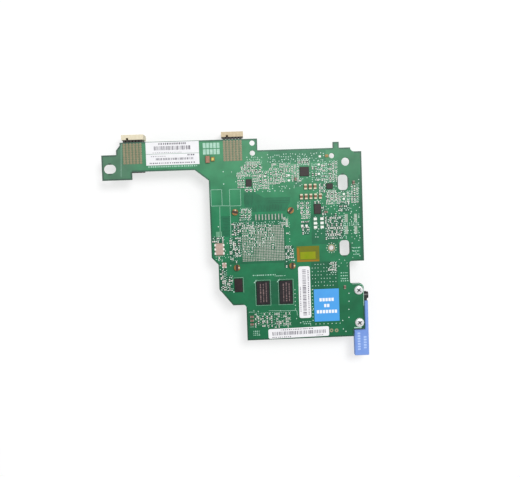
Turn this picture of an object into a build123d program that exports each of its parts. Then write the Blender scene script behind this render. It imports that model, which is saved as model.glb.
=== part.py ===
from build123d import *
import math
import os

# Mezzanine network card, in millimetres.
# Origin: on the axis of the round locating hole, at the board's underside.
# +X points away from the oval locating hole and +Y towards the midplane connectors.
# +Z points out of the label side.

# Circuit board: thickness, and the room for parts between its underside and the surface it lies on
BOARD_THICKNESS = 1.6
UNDERSIDE_DEPTH = 13.0

# Board outline, from the locating hole's axis
RIGHT_X = 9.9
TOP_Y = 8.6
SHOULDER_X = 3.1
SHOULDER_DROP = 2.5
SHOULDER_ROUND = 0.95
NUB_X = -7.5
NUB_WIDTH = 3.7
NUB_HEIGHT = 3.6
ARM_END_X = -53.6
ARM_TOP_Y = 15.7
ARM_BOTTOM_Y = -2.1
TAB_TOP_Y = 8.4
TAB_BOTTOM_Y = -6.9
TAB_MARGIN = 4.8
TAB_LENGTH = 18.0
STAIR_OFFSET = 9.0
STAIR_RUN = 2.3
STAIR_LOW_Y = 11.1
STAIR_HIGH_Y = 14.0
CUT_X = 0.9
CUT_TOP_Y = -61.1
LOBE_TOP_Y = -74.9
LOBE_RIGHT_X = 9.3
NOTCH_X = 2.4
NOTCH_Y = -103.3
BOTTOM_Y = -107.9
FOOT_X = -63.6
STEP_Y = -85.8
STEP_X = -71.6
WAIST_X = -79.8
WAIST_TOP_Y = -60.4
WAIST_BOTTOM_Y = -75.6
BODY_X = -83.8
BODY_TOP_Y = -8.8
BODY_BOTTOM_Y = -56.0
NECK_X = -92.2

# Board corner radii
CUT_RADIUS = 1.2
LOBE_RADIUS = 3.1
STEP_RADIUS = 1.7

# Holes through the board
HOLE_SPACING = 143.3
LOCATING_HOLE_RADIUS = 2.5
OVAL_LENGTH = 7.4
OVAL_WIDTH = 5.4
SMALL_HOLE_RADIUS = 1.6
ARM_HOLES = ((-56.7, 13.1), (-56.7, 7.0))
CORNER_HOLE = (-8.3, 3.9)
PLATED_HOLE = (-10.0, -52.5)
PLATED_HOLE_RADIUS = 1.4
GUIDE_SLOT_SIZE = (6.1, 9.4)
GUIDE_SLOT_RADIUS = 2.1
GUIDE_SLOT_X = -1.9
GUIDE_SLOT_YS = (-12.6, -52.8)

# Midplane connectors: one pin column for each wafer
LEFT_CONNECTOR_OFFSET = 14.0
RIGHT_CONNECTOR_INSET = 15.1
PIN_COLUMNS = 6
PIN_ROWS = 9
COLUMN_PITCH = 2.0
ROW_PITCH = 1.4
FIRST_ROW_INSET = 1.2
PIN_WIDTH = 0.5
PIN_TAIL = 0.4
WAFER_THICKNESS = 1.5
WAFER_STANDOFF = 0.3
WAFER_OVERHANG = 1.7
WAFER_REAR_MARGIN = 5.6
WAFER_CHAMFER = 2.0
HOUSING_WIDTH = 13.4
HOUSING_DEPTH = 3.1
HOUSING_FLOOR = 0.4
OPENING_WIDTH = 0.9
OPENING_MARGIN = 1.5
OPENING_DEPTH = 2.0
KEYWAY_OFFSET = -3.1
KEYWAY_WIDTH = 1.4
KEYWAY_DEPTH = 1.2

# Controller, thermal pad and heat sink, centred on the push pins
PUSH_PIN_CENTRE = (-51.5, -45.6)
PUSH_PIN_SPACING = 34.0
CONTROLLER_SIZE = 27.0
CONTROLLER_HEIGHT = 1.2
LID_SIZE = 23.0
LID_HEIGHT = 1.0
PAD_SIZE = 20.0
PAD_THICKNESS = 0.3
SINK_MARGIN = 4.0
SINK_BASE = 2.5
FIN_COUNT = 13
FIN_THICKNESS = 1.0
PIN_POCKET_CLEARANCE = 2.9

# Push pins and their springs
PUSH_PIN_RADIUS = 1.4
PUSH_PIN_CLEARANCE = 0.2
PUSH_PIN_HEAD_RADIUS = 2.6
PUSH_PIN_HEAD = 1.4
PUSH_PIN_HEAD_GAP = 0.8
BARB_RADIUS = 1.9
BARB_HEIGHT = 1.3
SPRING_RADIUS = 2.1
SPRING_WIRE = 0.5
SPRING_TURNS = 2
SPRING_SIDES = 6

# Mezzanine connector
MEZZANINE_CENTRE = (-15.0, -80.0)
MEZZANINE_SIZE = (11.0, 36.0)
MEZZANINE_WALL = 2.2
MEZZANINE_SOCKET_DEPTH = 6.0
TONGUE_THICKNESS = 2.0
TONGUE_SETBACK = 1.0

# Packaged chips on the label side: centre, footprint and height
MEMORY_CENTRES = ((-53.0, -78.7), (-38.9, -78.7))
MEMORY_SIZE = (8.0, 14.4, 1.2)
FLASH_CENTRE = (-67.9, -73.4)
FLASH_SIZE = (5.0, 8.2, 1.2)
REGULATOR_CENTRE = (-25.4, -5.2)
REGULATOR_SIZE = (5.6, 5.6, 0.9)
SMALL_REGULATOR_CENTRE = (-59.5, -11.0)
SMALL_REGULATOR_SIZE = (3.6, 4.4, 0.9)
POWER_SWITCH_CENTRE = (-18.0, -28.3)
POWER_SWITCH_SIZE = (4.2, 6.0, 1.1)
LOGIC_CENTRE = (-10.2, -14.6)
LOGIC_SIZE = (3.8, 3.4, 1.0)
CHIP_EDGE = 0.2

# Lidded packages on the label side
OSCILLATOR_CENTRE = (-78.8, -50.9)
OSCILLATOR_SIZE = (5.2, 7.2, 0.9)
CRYSTAL_CENTRE = (-76.2, -60.9)
CRYSTAL_SIZE = (2.6, 3.2, 0.6)
CAN_HEIGHT = 0.5
CAN_MARGIN = 0.5
CASTELLATIONS = 3
CASTELLATION_SIZE = 0.9
CASTELLATION_PITCH = 2.54

# Large ceramic capacitors: centre of each row, count, and the shared pitch and size
BULK_CAPACITOR_SIZE = (1.6, 3.2, 1.4)
BULK_CAPACITOR_PITCH = 2.9
BULK_CAPACITOR_ROWS = (((-22.1, -14.5), 3), ((-21.9, -20.5), 5))

# Medium ceramic capacitors: centre, and whether the long side runs along Y
BROWN_CAPACITOR_SIZE = (2.2, 1.25, 1.0)
BROWN_CAPACITORS = (
    ((-12.9, -30.3), False),
    ((-2.5, -77.0), True),
    ((-60.4, -93.3), False),
    ((-60.4, -95.6), False),
    ((-60.4, -97.9), False),
    ((4.6, -12.9), True),
    ((-30.9, -9.6), True),
)

# Small chip parts in fields: centre, columns, rows, pitches, rise for each column, long side along Y
SMALL_PART_SIZE = (1.6, 0.8, 0.6)
SMALL_PART_FIELDS = (
    ((-57.0, -2.3), 5, 2, 2.3, 3.0, 0.0, True),
    ((-64.4, -11.5), 2, 2, 2.2, 4.0, 0.0, False),
    ((-58.4, -15.7), 3, 1, 2.4, 0.0, 0.0, True),
    ((-44.3, -7.2), 6, 2, 3.2, 3.4, 0.6, True),
    ((-25.7, 0.6), 4, 1, 1.6, 0.0, 0.0, True),
    ((-19.3, -5.2), 2, 2, 2.0, 4.0, 0.0, True),
    ((-13.4, -5.2), 1, 3, 0.0, 3.2, 0.0, False),
    ((-9.7, -5.6), 1, 4, 0.0, 2.8, 0.0, False),
    ((-9.0, -20.8), 3, 2, 2.6, 3.0, 0.0, True),
    ((5.0, -19.6), 1, 3, 0.0, 2.4, 0.0, True),
    ((-25.8, -27.2), 2, 3, 3.4, 2.7, 0.0, False),
    ((-26.0, -37.6), 2, 2, 2.6, 3.4, 0.0, False),
    ((-8.0, -40.6), 4, 2, 2.8, 4.4, 0.0, True),
    ((-6.9, -32.3), 1, 1, 0.0, 0.0, 0.0, True),
    ((-2.2, -27.2), 2, 1, 2.8, 0.0, 0.0, False),
    ((-62.2, -30.0), 3, 2, 2.2, 2.8, 0.0, True),
    ((-68.0, -39.0), 2, 2, 2.2, 2.8, 0.0, True),
    ((-68.0, -50.5), 2, 2, 2.2, 4.4, 0.0, True),
    ((-77.4, -69.6), 1, 4, 0.0, 3.2, 0.0, True),
    ((-73.4, -72.9), 1, 3, 0.0, 2.6, 0.0, True),
    ((-52.4, -95.4), 4, 2, 2.7, 2.8, 0.0, True),
    ((-43.9, -97.6), 2, 1, 2.2, 0.0, 0.0, True),
)
RESISTOR_EVERY = 3

# Parts of their own on the label side
STATUS_LIGHT_CENTRE = (-11.4, 3.9)
STATUS_LIGHT_SIZE = (2.0, 1.6, 0.6)
ARM_CAPACITOR_CENTRE = (-84.0, 4.0)
ARM_CAPACITOR_SIZE = (2.5, 4.2, 1.4)
ARM_LIGHT_CENTRE = (-80.9, 4.1)
ARM_LIGHT_SIZE = (2.2, 2.6, 0.9)

# Labels between neighbours: gaps to them, then middle height and width; others: centre, footprint and turn
LABEL_THICKNESS = 0.12
ARM_LABEL_LEFT_GAP = 1.4
ARM_LABEL_RIGHT_GAP = 3.75
ARM_UPPER_LABEL = (11.85, 7.1)
ARM_LOWER_LABEL = (4.75, 6.7)
UPRIGHT_LABEL_LEFT_GAP = 1.55
UPRIGHT_LABEL_RIGHT_GAP = 2.0
UPRIGHT_LABEL = (-79.3, 32.0)
BOARD_LABELS = {
    "bottom_label": ((-31.8, -104.2), (37.6, 6.0), 0.8),
    "press_label": ((-14.0, -87.8), (15.5, 20.1), 0.0),
    "film_label": ((-24.6, -55.75), (13.9, 9.7), 0.0),
}

# Power inductors on the underside
INDUCTOR_CENTRES = ((-22.0, -14.0), (-41.0, -12.5))
INDUCTOR_SIZE = (6.6, 6.6, 3.5)
INDUCTOR_EDGE = 0.8

# Lever bracket under the lobe, and its two screws
BRACKET_LEFT_X = 1.4
BRACKET_EDGE_MARGIN = 0.3
BRACKET_THICKNESS = 2.2
SCREW_X = 6.0
SCREW_YS = (-79.2, -99.4)
SCREW_HOLE_RADIUS = 1.65
SCREW_RADIUS = 1.5
SCREW_HEAD_RADIUS = 2.8
SCREW_HEAD_HEIGHT = 1.7
SCREW_LENGTH = 6.5
BOSS_WIDTH = 5.4
BOSS_HEIGHT = 3.3
THREAD_CLEARANCE = 0.02
SHELF_LENGTH = 4.0
SHELF_THICKNESS = 1.5

# Release lever: pivot, hub and handle
PIVOT_Y = -83.0
PIVOT_Z = -3.0
PIVOT_RADIUS = 1.0
PIVOT_RUNNING_GAP = 0.05
PIVOT_SEAT_GAP = 0.02
PIVOT_INNER_X = 4.2
PIVOT_HEAD_RADIUS = 2.1
PIVOT_HEAD_THICKNESS = 0.95
CHEEK_WIDTH = 3.7
CHEEK_HALF_LENGTH = 2.5
CHEEK_DEPTH = 2.6
LEVER_SIDE_GAP = 0.3
HUB_RADIUS = 2.4
HUB_WIDTH = 1.9
TOE_REACH = 4.0
TOE_WIDTH = 2.2
TOE_ANGLE = -72.0
TOE_ROUND = 0.45
LEVER_WIDTH = 2.2
LEVER_ROOT_Y = -86.2
LEVER_TIP_Y = -120.2
LEVER_TOP_Z = 1.0
LEVER_BOTTOM_Z = -2.8
HANDLE_SIDE_GAP = 0.5
HANDLE_END_GAP = 0.8
HANDLE_RADIUS = 0.5
HANDLE_EDGE = 0.4
HANDLE_WALL = 1.2
HANDLE_RIBS = 2
RIB_THICKNESS = 1.0
TANG_LENGTH = 12.0
TANG_THICKNESS = 1.0
TANG_HEIGHT = 2.0

# Heights and places worked out from the sizes above
LABEL_SIDE_Z = BOARD_THICKNESS
REST_Z = -UNDERSIDE_DEPTH
OVAL_X = -HOLE_SPACING
CONNECTOR_XS = {"left": OVAL_X + LEFT_CONNECTOR_OFFSET, "right": ARM_END_X - RIGHT_CONNECTOR_INSET}
SINK_SIZE = PUSH_PIN_SPACING + 2 * SINK_MARGIN
PIN_POCKET = SINK_MARGIN + PUSH_PIN_HEAD_RADIUS + PIN_POCKET_CLEARANCE
SINK_TOP_Z = -(CONTROLLER_HEIGHT + LID_HEIGHT + PAD_THICKNESS)
SINK_BOTTOM_Z = SINK_TOP_Z - SINK_BASE
WAFER_FRONT_Y = ARM_TOP_Y + WAFER_OVERHANG
HUB_X = LOBE_RIGHT_X + LEVER_SIDE_GAP
LEVER_RIGHT_X = HUB_X + LEVER_WIDTH
BRACKET_RIGHT_X = LOBE_RIGHT_X - BRACKET_EDGE_MARGIN


def cuboid(xs, ys, zs):
    """Box between two limits on each axis."""
    limits = (xs, ys, zs)
    middle = [(low + high) / 2 for low, high in limits]
    return Pos(*middle) * Box(*[high - low for low, high in limits])


def standing(centre, size, z):
    """Box with its footprint centred on a point and its base at z."""
    width, length, height = size
    return Pos(centre[0], centre[1], z + height / 2) * Box(width, length, height)


def rod_z(centre, radius, zs):
    """Cylinder along Z between two heights."""
    return Pos(centre[0], centre[1], sum(zs) / 2) * Cylinder(radius, zs[1] - zs[0])


def rod_x(y, z, radius, xs):
    """Cylinder along X between two places."""
    return Pos(sum(xs) / 2, y, z) * Rot(0, 90, 0) * Cylinder(radius, xs[1] - xs[0])


def square_corners(centre, spacing):
    """Four corners of a square, row by row from the upper left."""
    reach = spacing / 2
    return [(centre[0] + x, centre[1] + y) for y in (reach, -reach) for x in (-reach, reach)]


def field(centre, columns, rows, pitch_x, pitch_y, rise=0.0):
    """Places of a grid with its column and row numbers."""
    for column in range(columns):
        across = column - (columns - 1) / 2
        for row in range(rows):
            along = row - (rows - 1) / 2
            place = (centre[0] + across * pitch_x, centre[1] + along * pitch_y + across * rise)
            yield place, column, row


def turned(size, upright):
    """Footprint and height of a chip part, with its long side along Y when upright."""
    long_side, short_side, height = size
    return (short_side, long_side, height) if upright else size


def board_outline():
    """Corners of the routed outline, clockwise from the tab, each with its radius."""
    tab_x = OVAL_X - TAB_MARGIN
    stair_x = tab_x + STAIR_OFFSET
    corner_y = TOP_Y - SHOULDER_DROP
    nub_top_y = TOP_Y + NUB_HEIGHT
    return (
        (tab_x, TAB_TOP_Y, 0.0),
        (stair_x, TAB_TOP_Y, 0.0),
        (stair_x, STAIR_LOW_Y, 0.0),
        (stair_x + STAIR_RUN, STAIR_HIGH_Y, 0.0),
        (stair_x + STAIR_RUN, ARM_TOP_Y, 0.0),
        (ARM_END_X, ARM_TOP_Y, 0.0),
        (ARM_END_X, TOP_Y, 0.0),
        (NUB_X, TOP_Y, 0.0),
        (NUB_X, nub_top_y, 0.0),
        (NUB_X + NUB_WIDTH, nub_top_y, 0.0),
        (NUB_X + NUB_WIDTH, TOP_Y, 0.0),
        (SHOULDER_X, TOP_Y, 0.0),
        (SHOULDER_X, corner_y, SHOULDER_ROUND * SHOULDER_DROP),
        (RIGHT_X, corner_y, 0.0),
        (RIGHT_X, CUT_TOP_Y, 0.0),
        (CUT_X, CUT_TOP_Y, CUT_RADIUS),
        (CUT_X, LOBE_TOP_Y, CUT_RADIUS),
        (LOBE_RIGHT_X, LOBE_TOP_Y, LOBE_RADIUS),
        (LOBE_RIGHT_X, NOTCH_Y, 0.0),
        (NOTCH_X, NOTCH_Y, 0.0),
        (NOTCH_X, BOTTOM_Y, 0.0),
        (FOOT_X, BOTTOM_Y, 0.0),
        (FOOT_X, STEP_Y, STEP_RADIUS),
        (STEP_X, STEP_Y, 0.0),
        (WAIST_X, WAIST_BOTTOM_Y, 0.0),
        (WAIST_X, WAIST_TOP_Y, 0.0),
        (BODY_X, BODY_BOTTOM_Y, 0.0),
        (BODY_X, BODY_TOP_Y, 0.0),
        (NECK_X, ARM_BOTTOM_Y, 0.0),
        (tab_x + TAB_LENGTH, ARM_BOTTOM_Y, 0.0),
        (tab_x + TAB_LENGTH, TAB_BOTTOM_Y, 0.0),
        (tab_x, TAB_BOTTOM_Y, 0.0),
    )


def circuit_board():
    """Routed panel with its locating, screw, push-pin and guide holes."""
    corners = board_outline()
    edge = FilletPolyline(
        *[(x, y) for x, y, radius in corners],
        radius=[radius for x, y, radius in corners],
        close=True,
    )
    holes = Circle(LOCATING_HOLE_RADIUS)
    holes += Pos(OVAL_X, 0) * SlotOverall(OVAL_LENGTH, OVAL_WIDTH)
    for x, y in (*ARM_HOLES, CORNER_HOLE):
        holes += Pos(x, y) * Circle(SMALL_HOLE_RADIUS)
    holes += Pos(*PLATED_HOLE) * Circle(PLATED_HOLE_RADIUS)
    for y in GUIDE_SLOT_YS:
        holes += Pos(GUIDE_SLOT_X, y) * RectangleRounded(*GUIDE_SLOT_SIZE, GUIDE_SLOT_RADIUS)
    for x, y in square_corners(PUSH_PIN_CENTRE, PUSH_PIN_SPACING):
        holes += Pos(x, y) * Circle(PUSH_PIN_RADIUS + PUSH_PIN_CLEARANCE)
    for y in SCREW_YS:
        holes += Pos(SCREW_X, y) * Circle(SCREW_HOLE_RADIUS)
    return extrude(make_face(edge) - holes, BOARD_THICKNESS)


def wafer_places(connector_x):
    """Centre of each wafer and pin column of a midplane connector."""
    return [place[0] for place, column, row in field((connector_x, 0), PIN_COLUMNS, 1, COLUMN_PITCH, 0)]


def connector_housing(connector_x):
    """Front housing of a midplane connector, with a contact slot for each wafer and a keyway."""
    low_x = connector_x - HOUSING_WIDTH / 2
    front_y = WAFER_FRONT_Y + HOUSING_DEPTH
    housing = cuboid((low_x, low_x + HOUSING_WIDTH), (WAFER_FRONT_Y, front_y), (REST_Z, 0))
    keyway_x = connector_x + KEYWAY_OFFSET
    housing -= cuboid(
        (keyway_x - KEYWAY_WIDTH / 2, keyway_x + KEYWAY_WIDTH / 2),
        (WAFER_FRONT_Y, WAFER_FRONT_Y + KEYWAY_DEPTH),
        (REST_Z / 2, 0),
    )
    for x in wafer_places(connector_x):
        housing -= cuboid(
            (x - OPENING_WIDTH / 2, x + OPENING_WIDTH / 2),
            (front_y - OPENING_DEPTH, front_y),
            (REST_Z + OPENING_MARGIN, -OPENING_MARGIN),
        )
    return housing


def connector_wafers(connector_x):
    """Moulded contact wafers side by side, with a sloped rear corner."""
    rear_y = ARM_TOP_Y - FIRST_ROW_INSET - (PIN_ROWS - 1) * ROW_PITCH - WAFER_REAR_MARGIN
    bottom_z = REST_Z + HOUSING_FLOOR
    profile = Polyline(
        (rear_y, -WAFER_STANDOFF),
        (WAFER_FRONT_Y, -WAFER_STANDOFF),
        (WAFER_FRONT_Y, bottom_z),
        (rear_y + WAFER_CHAMFER, bottom_z),
        (rear_y, bottom_z + WAFER_CHAMFER),
        close=True,
    )
    wafer = extrude(Plane.YZ * make_face(profile), WAFER_THICKNESS / 2, both=True)
    return [Pos(x, 0, 0) * wafer for x in wafer_places(connector_x)]


def connector_pins(connector_x):
    """Press-fit contact tails, from the wafers through the board."""
    centre_y = ARM_TOP_Y - FIRST_ROW_INSET - (PIN_ROWS - 1) * ROW_PITCH / 2
    size = (PIN_WIDTH, PIN_WIDTH, WAFER_STANDOFF + BOARD_THICKNESS + PIN_TAIL)
    places = field((connector_x, centre_y), PIN_COLUMNS, PIN_ROWS, COLUMN_PITCH, ROW_PITCH)
    return [standing(place, size, -WAFER_STANDOFF) for place, column, row in places]


def controller_chip():
    """Ball-grid substrate of the controller, on the underside."""
    size = (CONTROLLER_SIZE, CONTROLLER_SIZE, CONTROLLER_HEIGHT)
    return standing(PUSH_PIN_CENTRE, size, -CONTROLLER_HEIGHT)


def controller_lid():
    """Metal lid over the controller's die."""
    return standing(PUSH_PIN_CENTRE, (LID_SIZE, LID_SIZE, LID_HEIGHT), -CONTROLLER_HEIGHT - LID_HEIGHT)


def thermal_pad():
    """Soft pad between the lid and the heat sink."""
    return standing(PUSH_PIN_CENTRE, (PAD_SIZE, PAD_SIZE, PAD_THICKNESS), SINK_TOP_Z)


def heat_sink():
    """Base plate with fins along Y, cleared at the corners for the push pins."""
    sink = standing(PUSH_PIN_CENTRE, (SINK_SIZE, SINK_SIZE, SINK_BASE), SINK_BOTTOM_Z)
    fin_pitch = (SINK_SIZE - FIN_THICKNESS) / (FIN_COUNT - 1)
    fin_size = (FIN_THICKNESS, SINK_SIZE, SINK_BOTTOM_Z - REST_Z)
    for (x, y), column, row in field(PUSH_PIN_CENTRE, FIN_COUNT, 1, fin_pitch, 0):
        sink += standing((x, y), fin_size, REST_Z)
    pocket_size = (PIN_POCKET, PIN_POCKET, SINK_BOTTOM_Z - REST_Z)
    for corner in square_corners(PUSH_PIN_CENTRE, SINK_SIZE - PIN_POCKET):
        sink -= standing(corner, pocket_size, REST_Z)
    opening = 2 * (PUSH_PIN_RADIUS + PUSH_PIN_CLEARANCE)
    for corner in square_corners(PUSH_PIN_CENTRE, PUSH_PIN_SPACING):
        sink -= standing(corner, (opening, opening, SINK_BASE), SINK_BOTTOM_Z)
    return sink


def push_pin_head_z():
    """Face of a push pin's head that its spring bears on."""
    return REST_Z + PUSH_PIN_HEAD_GAP + PUSH_PIN_HEAD


def push_pins():
    """Turned pins with a head below the heat sink and a wider barb above the board."""
    head_z = push_pin_head_z()
    pins = []
    for corner in square_corners(PUSH_PIN_CENTRE, PUSH_PIN_SPACING):
        pin = rod_z(corner, PUSH_PIN_HEAD_RADIUS, (head_z - PUSH_PIN_HEAD, head_z))
        pin += rod_z(corner, PUSH_PIN_RADIUS, (head_z, LABEL_SIDE_Z))
        pin += rod_z(corner, BARB_RADIUS, (LABEL_SIDE_Z, LABEL_SIDE_Z + BARB_HEIGHT))
        pins.append(pin)
    return pins


def push_pin_springs():
    """Coil springs between the push pins' heads and the heat sink's base."""
    low_z = push_pin_head_z() + SPRING_WIRE
    rise = SINK_BOTTOM_Z - SPRING_WIRE - low_z
    steps = SPRING_TURNS * SPRING_SIDES
    corners = []
    for step in range(steps + 1):
        angle = 2 * math.pi * step / SPRING_SIDES
        x = SPRING_RADIUS * math.cos(angle)
        y = SPRING_RADIUS * math.sin(angle)
        corners.append((x, y, rise * step / steps))
    path = Polyline(*corners)
    section = Plane(path @ 0, x_dir=(0, 0, 1), z_dir=path % 0) * Rectangle(SPRING_WIRE, SPRING_WIRE)
    coil = sweep(section, path, transition=Transition.RIGHT)
    return [Pos(x, y, low_z) * coil for x, y in square_corners(PUSH_PIN_CENTRE, PUSH_PIN_SPACING)]


def mezzanine_connector():
    """Board-to-board connector with a socket round a central tongue."""
    width, length = MEZZANINE_SIZE
    body = standing(MEZZANINE_CENTRE, (width, length, UNDERSIDE_DEPTH), REST_Z)
    body = chamfer(body.edges().filter_by(Axis.Z), MEZZANINE_WALL / 2)
    socket_length = length - 2 * MEZZANINE_WALL
    socket_size = (width - 2 * MEZZANINE_WALL, socket_length, MEZZANINE_SOCKET_DEPTH)
    body -= standing(MEZZANINE_CENTRE, socket_size, REST_Z)
    tongue_size = (TONGUE_THICKNESS, socket_length, MEZZANINE_SOCKET_DEPTH - TONGUE_SETBACK)
    return body + standing(MEZZANINE_CENTRE, tongue_size, REST_Z + TONGUE_SETBACK)


def moulded_chip(centre, size):
    """Flat moulded package on the label side, with a bevelled top."""
    body = standing(centre, size, LABEL_SIDE_Z)
    return chamfer(body.edges().group_by(Axis.Z)[-1], CHIP_EDGE)


def canned_chip(centre, size):
    """Ceramic base with a raised metal lid."""
    width, length, height = size
    lid_size = (width - 2 * CAN_MARGIN, length - 2 * CAN_MARGIN, CAN_HEIGHT)
    return standing(centre, size, LABEL_SIDE_Z) + standing(centre, lid_size, LABEL_SIDE_Z + height)


def oscillator():
    """Lidded package with soldered castellations along its long sides."""
    width, length, height = OSCILLATOR_SIZE
    body = canned_chip(OSCILLATOR_CENTRE, OSCILLATOR_SIZE)
    size = (CASTELLATION_SIZE, CASTELLATION_SIZE, height)
    for place, column, row in field(OSCILLATOR_CENTRE, 2, CASTELLATIONS, width, CASTELLATION_PITCH):
        body += standing(place, size, LABEL_SIDE_Z)
    return body


def bulk_capacitors():
    """Large ceramic capacitors in rows."""
    return [
        standing(place, BULK_CAPACITOR_SIZE, LABEL_SIDE_Z)
        for centre, count in BULK_CAPACITOR_ROWS
        for place, column, row in field(centre, count, 1, BULK_CAPACITOR_PITCH, 0)
    ]


def brown_capacitors():
    """Medium ceramic capacitors."""
    return [
        standing(centre, turned(BROWN_CAPACITOR_SIZE, upright), LABEL_SIDE_Z)
        for centre, upright in BROWN_CAPACITORS
    ]


def small_parts():
    """Capacitors and resistors of the fields, with every third part a resistor."""
    capacitors = []
    resistors = []
    for centre, columns, rows, pitch_x, pitch_y, rise, upright in SMALL_PART_FIELDS:
        for place, column, row in field(centre, columns, rows, pitch_x, pitch_y, rise):
            group = resistors if (column + 2 * row) % RESISTOR_EVERY == 0 else capacitors
            group.append(standing(place, turned(SMALL_PART_SIZE, upright), LABEL_SIDE_Z))
    return capacitors, resistors


def label(centre, size, angle=0.0):
    """Thin flat label."""
    return Pos(*centre, LABEL_SIDE_Z) * Rot(0, 0, angle) * extrude(Rectangle(*size), LABEL_THICKNESS)


def arm_label(place):
    """Label on the arm between the left connector and the capacitor, from its middle height and width."""
    middle_y, width = place
    left_x = CONNECTOR_XS["left"] + HOUSING_WIDTH / 2 + ARM_LABEL_LEFT_GAP
    right_x = ARM_CAPACITOR_CENTRE[0] - ARM_CAPACITOR_SIZE[0] / 2 - ARM_LABEL_RIGHT_GAP
    return label(((left_x + right_x) / 2, middle_y), (right_x - left_x, width))


def upright_label():
    """Label between the push pins and the blue label."""
    middle_y, length = UPRIGHT_LABEL
    (press_x, press_y), (press_width, press_length), angle = BOARD_LABELS["press_label"]
    left_x = PUSH_PIN_CENTRE[0] + PUSH_PIN_SPACING / 2 + BARB_RADIUS + UPRIGHT_LABEL_LEFT_GAP
    right_x = press_x - press_width / 2 - UPRIGHT_LABEL_RIGHT_GAP
    return label(((left_x + right_x) / 2, middle_y), (right_x - left_x, length))


def power_inductors():
    """Moulded inductors on the underside, with bevelled lower edges."""
    bodies = []
    for centre in INDUCTOR_CENTRES:
        body = standing(centre, INDUCTOR_SIZE, -INDUCTOR_SIZE[2])
        bodies.append(chamfer(body.edges().group_by(Axis.Z)[0], INDUCTOR_EDGE))
    return bodies


def bracket_screws():
    """Pan-head screws through the board into the bracket."""
    screws = []
    for y in SCREW_YS:
        screw = rod_z((SCREW_X, y), SCREW_RADIUS, (LABEL_SIDE_Z - SCREW_LENGTH, LABEL_SIDE_Z))
        screw += rod_z((SCREW_X, y), SCREW_HEAD_RADIUS, (LABEL_SIDE_Z, LABEL_SIDE_Z + SCREW_HEAD_HEIGHT))
        screws.append(screw)
    return screws


def lever_bracket():
    """Plate under the lobe with screw bosses, the pivot's cheek and a shelf under the lever."""
    plate_ys = (NOTCH_Y + BRACKET_EDGE_MARGIN, LOBE_TOP_Y - BRACKET_EDGE_MARGIN)
    plate_xs = (BRACKET_LEFT_X, BRACKET_RIGHT_X)
    plate = cuboid(plate_xs, plate_ys, (-BRACKET_THICKNESS, 0))
    rounded = plate.edges().filter_by(Axis.Z).group_by(Axis.X)[-1].sort_by(Axis.Y)[-1]
    bracket = fillet(rounded, LOBE_RADIUS)
    boss_z = -BRACKET_THICKNESS - BOSS_HEIGHT
    for y in SCREW_YS:
        bracket += standing((SCREW_X, y), (BOSS_WIDTH, BOSS_WIDTH, BOSS_HEIGHT), boss_z)
    cheek_xs = (BRACKET_RIGHT_X - CHEEK_WIDTH, BRACKET_RIGHT_X)
    cheek_ys = (PIVOT_Y - CHEEK_HALF_LENGTH, PIVOT_Y + CHEEK_HALF_LENGTH)
    bracket += cuboid(cheek_xs, cheek_ys, (PIVOT_Z - CHEEK_DEPTH, -BRACKET_THICKNESS))
    shelf_ys = (SCREW_YS[-1] - SHELF_LENGTH / 2, SCREW_YS[-1] + SHELF_LENGTH / 2)
    shelf_zs = (LEVER_BOTTOM_Z - SHELF_THICKNESS, LEVER_BOTTOM_Z)
    bracket += cuboid((SCREW_X, LEVER_RIGHT_X), shelf_ys, shelf_zs)
    for y in SCREW_YS:
        bracket -= rod_z((SCREW_X, y), SCREW_RADIUS + THREAD_CLEARANCE, (boss_z, 0))
    pin_xs = (PIVOT_INNER_X, BRACKET_RIGHT_X)
    return bracket - rod_x(PIVOT_Y, PIVOT_Z, PIVOT_RADIUS + PIVOT_SEAT_GAP, pin_xs)


def pivot_pin():
    """Headed pin that the lever turns on."""
    head_x = HUB_X + HUB_WIDTH + PIVOT_RUNNING_GAP
    head = rod_x(PIVOT_Y, PIVOT_Z, PIVOT_HEAD_RADIUS, (head_x, head_x + PIVOT_HEAD_THICKNESS))
    return head + rod_x(PIVOT_Y, PIVOT_Z, PIVOT_RADIUS, (PIVOT_INNER_X, head_x))


def tang():
    """Steel tongue that the lever is moulded round."""
    middle_x = HUB_X + HUB_WIDTH / 2
    middle_z = (LEVER_TOP_Z + LEVER_BOTTOM_Z) / 2
    return cuboid(
        (middle_x - TANG_THICKNESS / 2, middle_x + TANG_THICKNESS / 2),
        (LEVER_ROOT_Y - TANG_LENGTH, LEVER_ROOT_Y),
        (middle_z - TANG_HEIGHT / 2, middle_z + TANG_HEIGHT / 2),
    )


def lever_hub():
    """Hub on the pivot, with a shank to the lever and a toe that pushes the card up."""
    hub_xs = (HUB_X, HUB_X + HUB_WIDTH)
    hub = rod_x(PIVOT_Y, PIVOT_Z, HUB_RADIUS, hub_xs)
    hub += cuboid(hub_xs, (LEVER_ROOT_Y, PIVOT_Y), (LEVER_BOTTOM_Z, PIVOT_Z + HUB_RADIUS))
    toe = cuboid((0, HUB_WIDTH), (0, TOE_REACH), (-TOE_WIDTH / 2, TOE_WIDTH / 2))
    toe = fillet(toe.edges().filter_by(Axis.X).group_by(Axis.Y)[-1], TOE_ROUND * TOE_WIDTH)
    hub += Pos(HUB_X, PIVOT_Y, PIVOT_Z) * Rot(TOE_ANGLE, 0, 0) * toe
    hub -= rod_x(PIVOT_Y, PIVOT_Z, PIVOT_RADIUS + PIVOT_RUNNING_GAP, hub_xs)
    return hub + tang()


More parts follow.
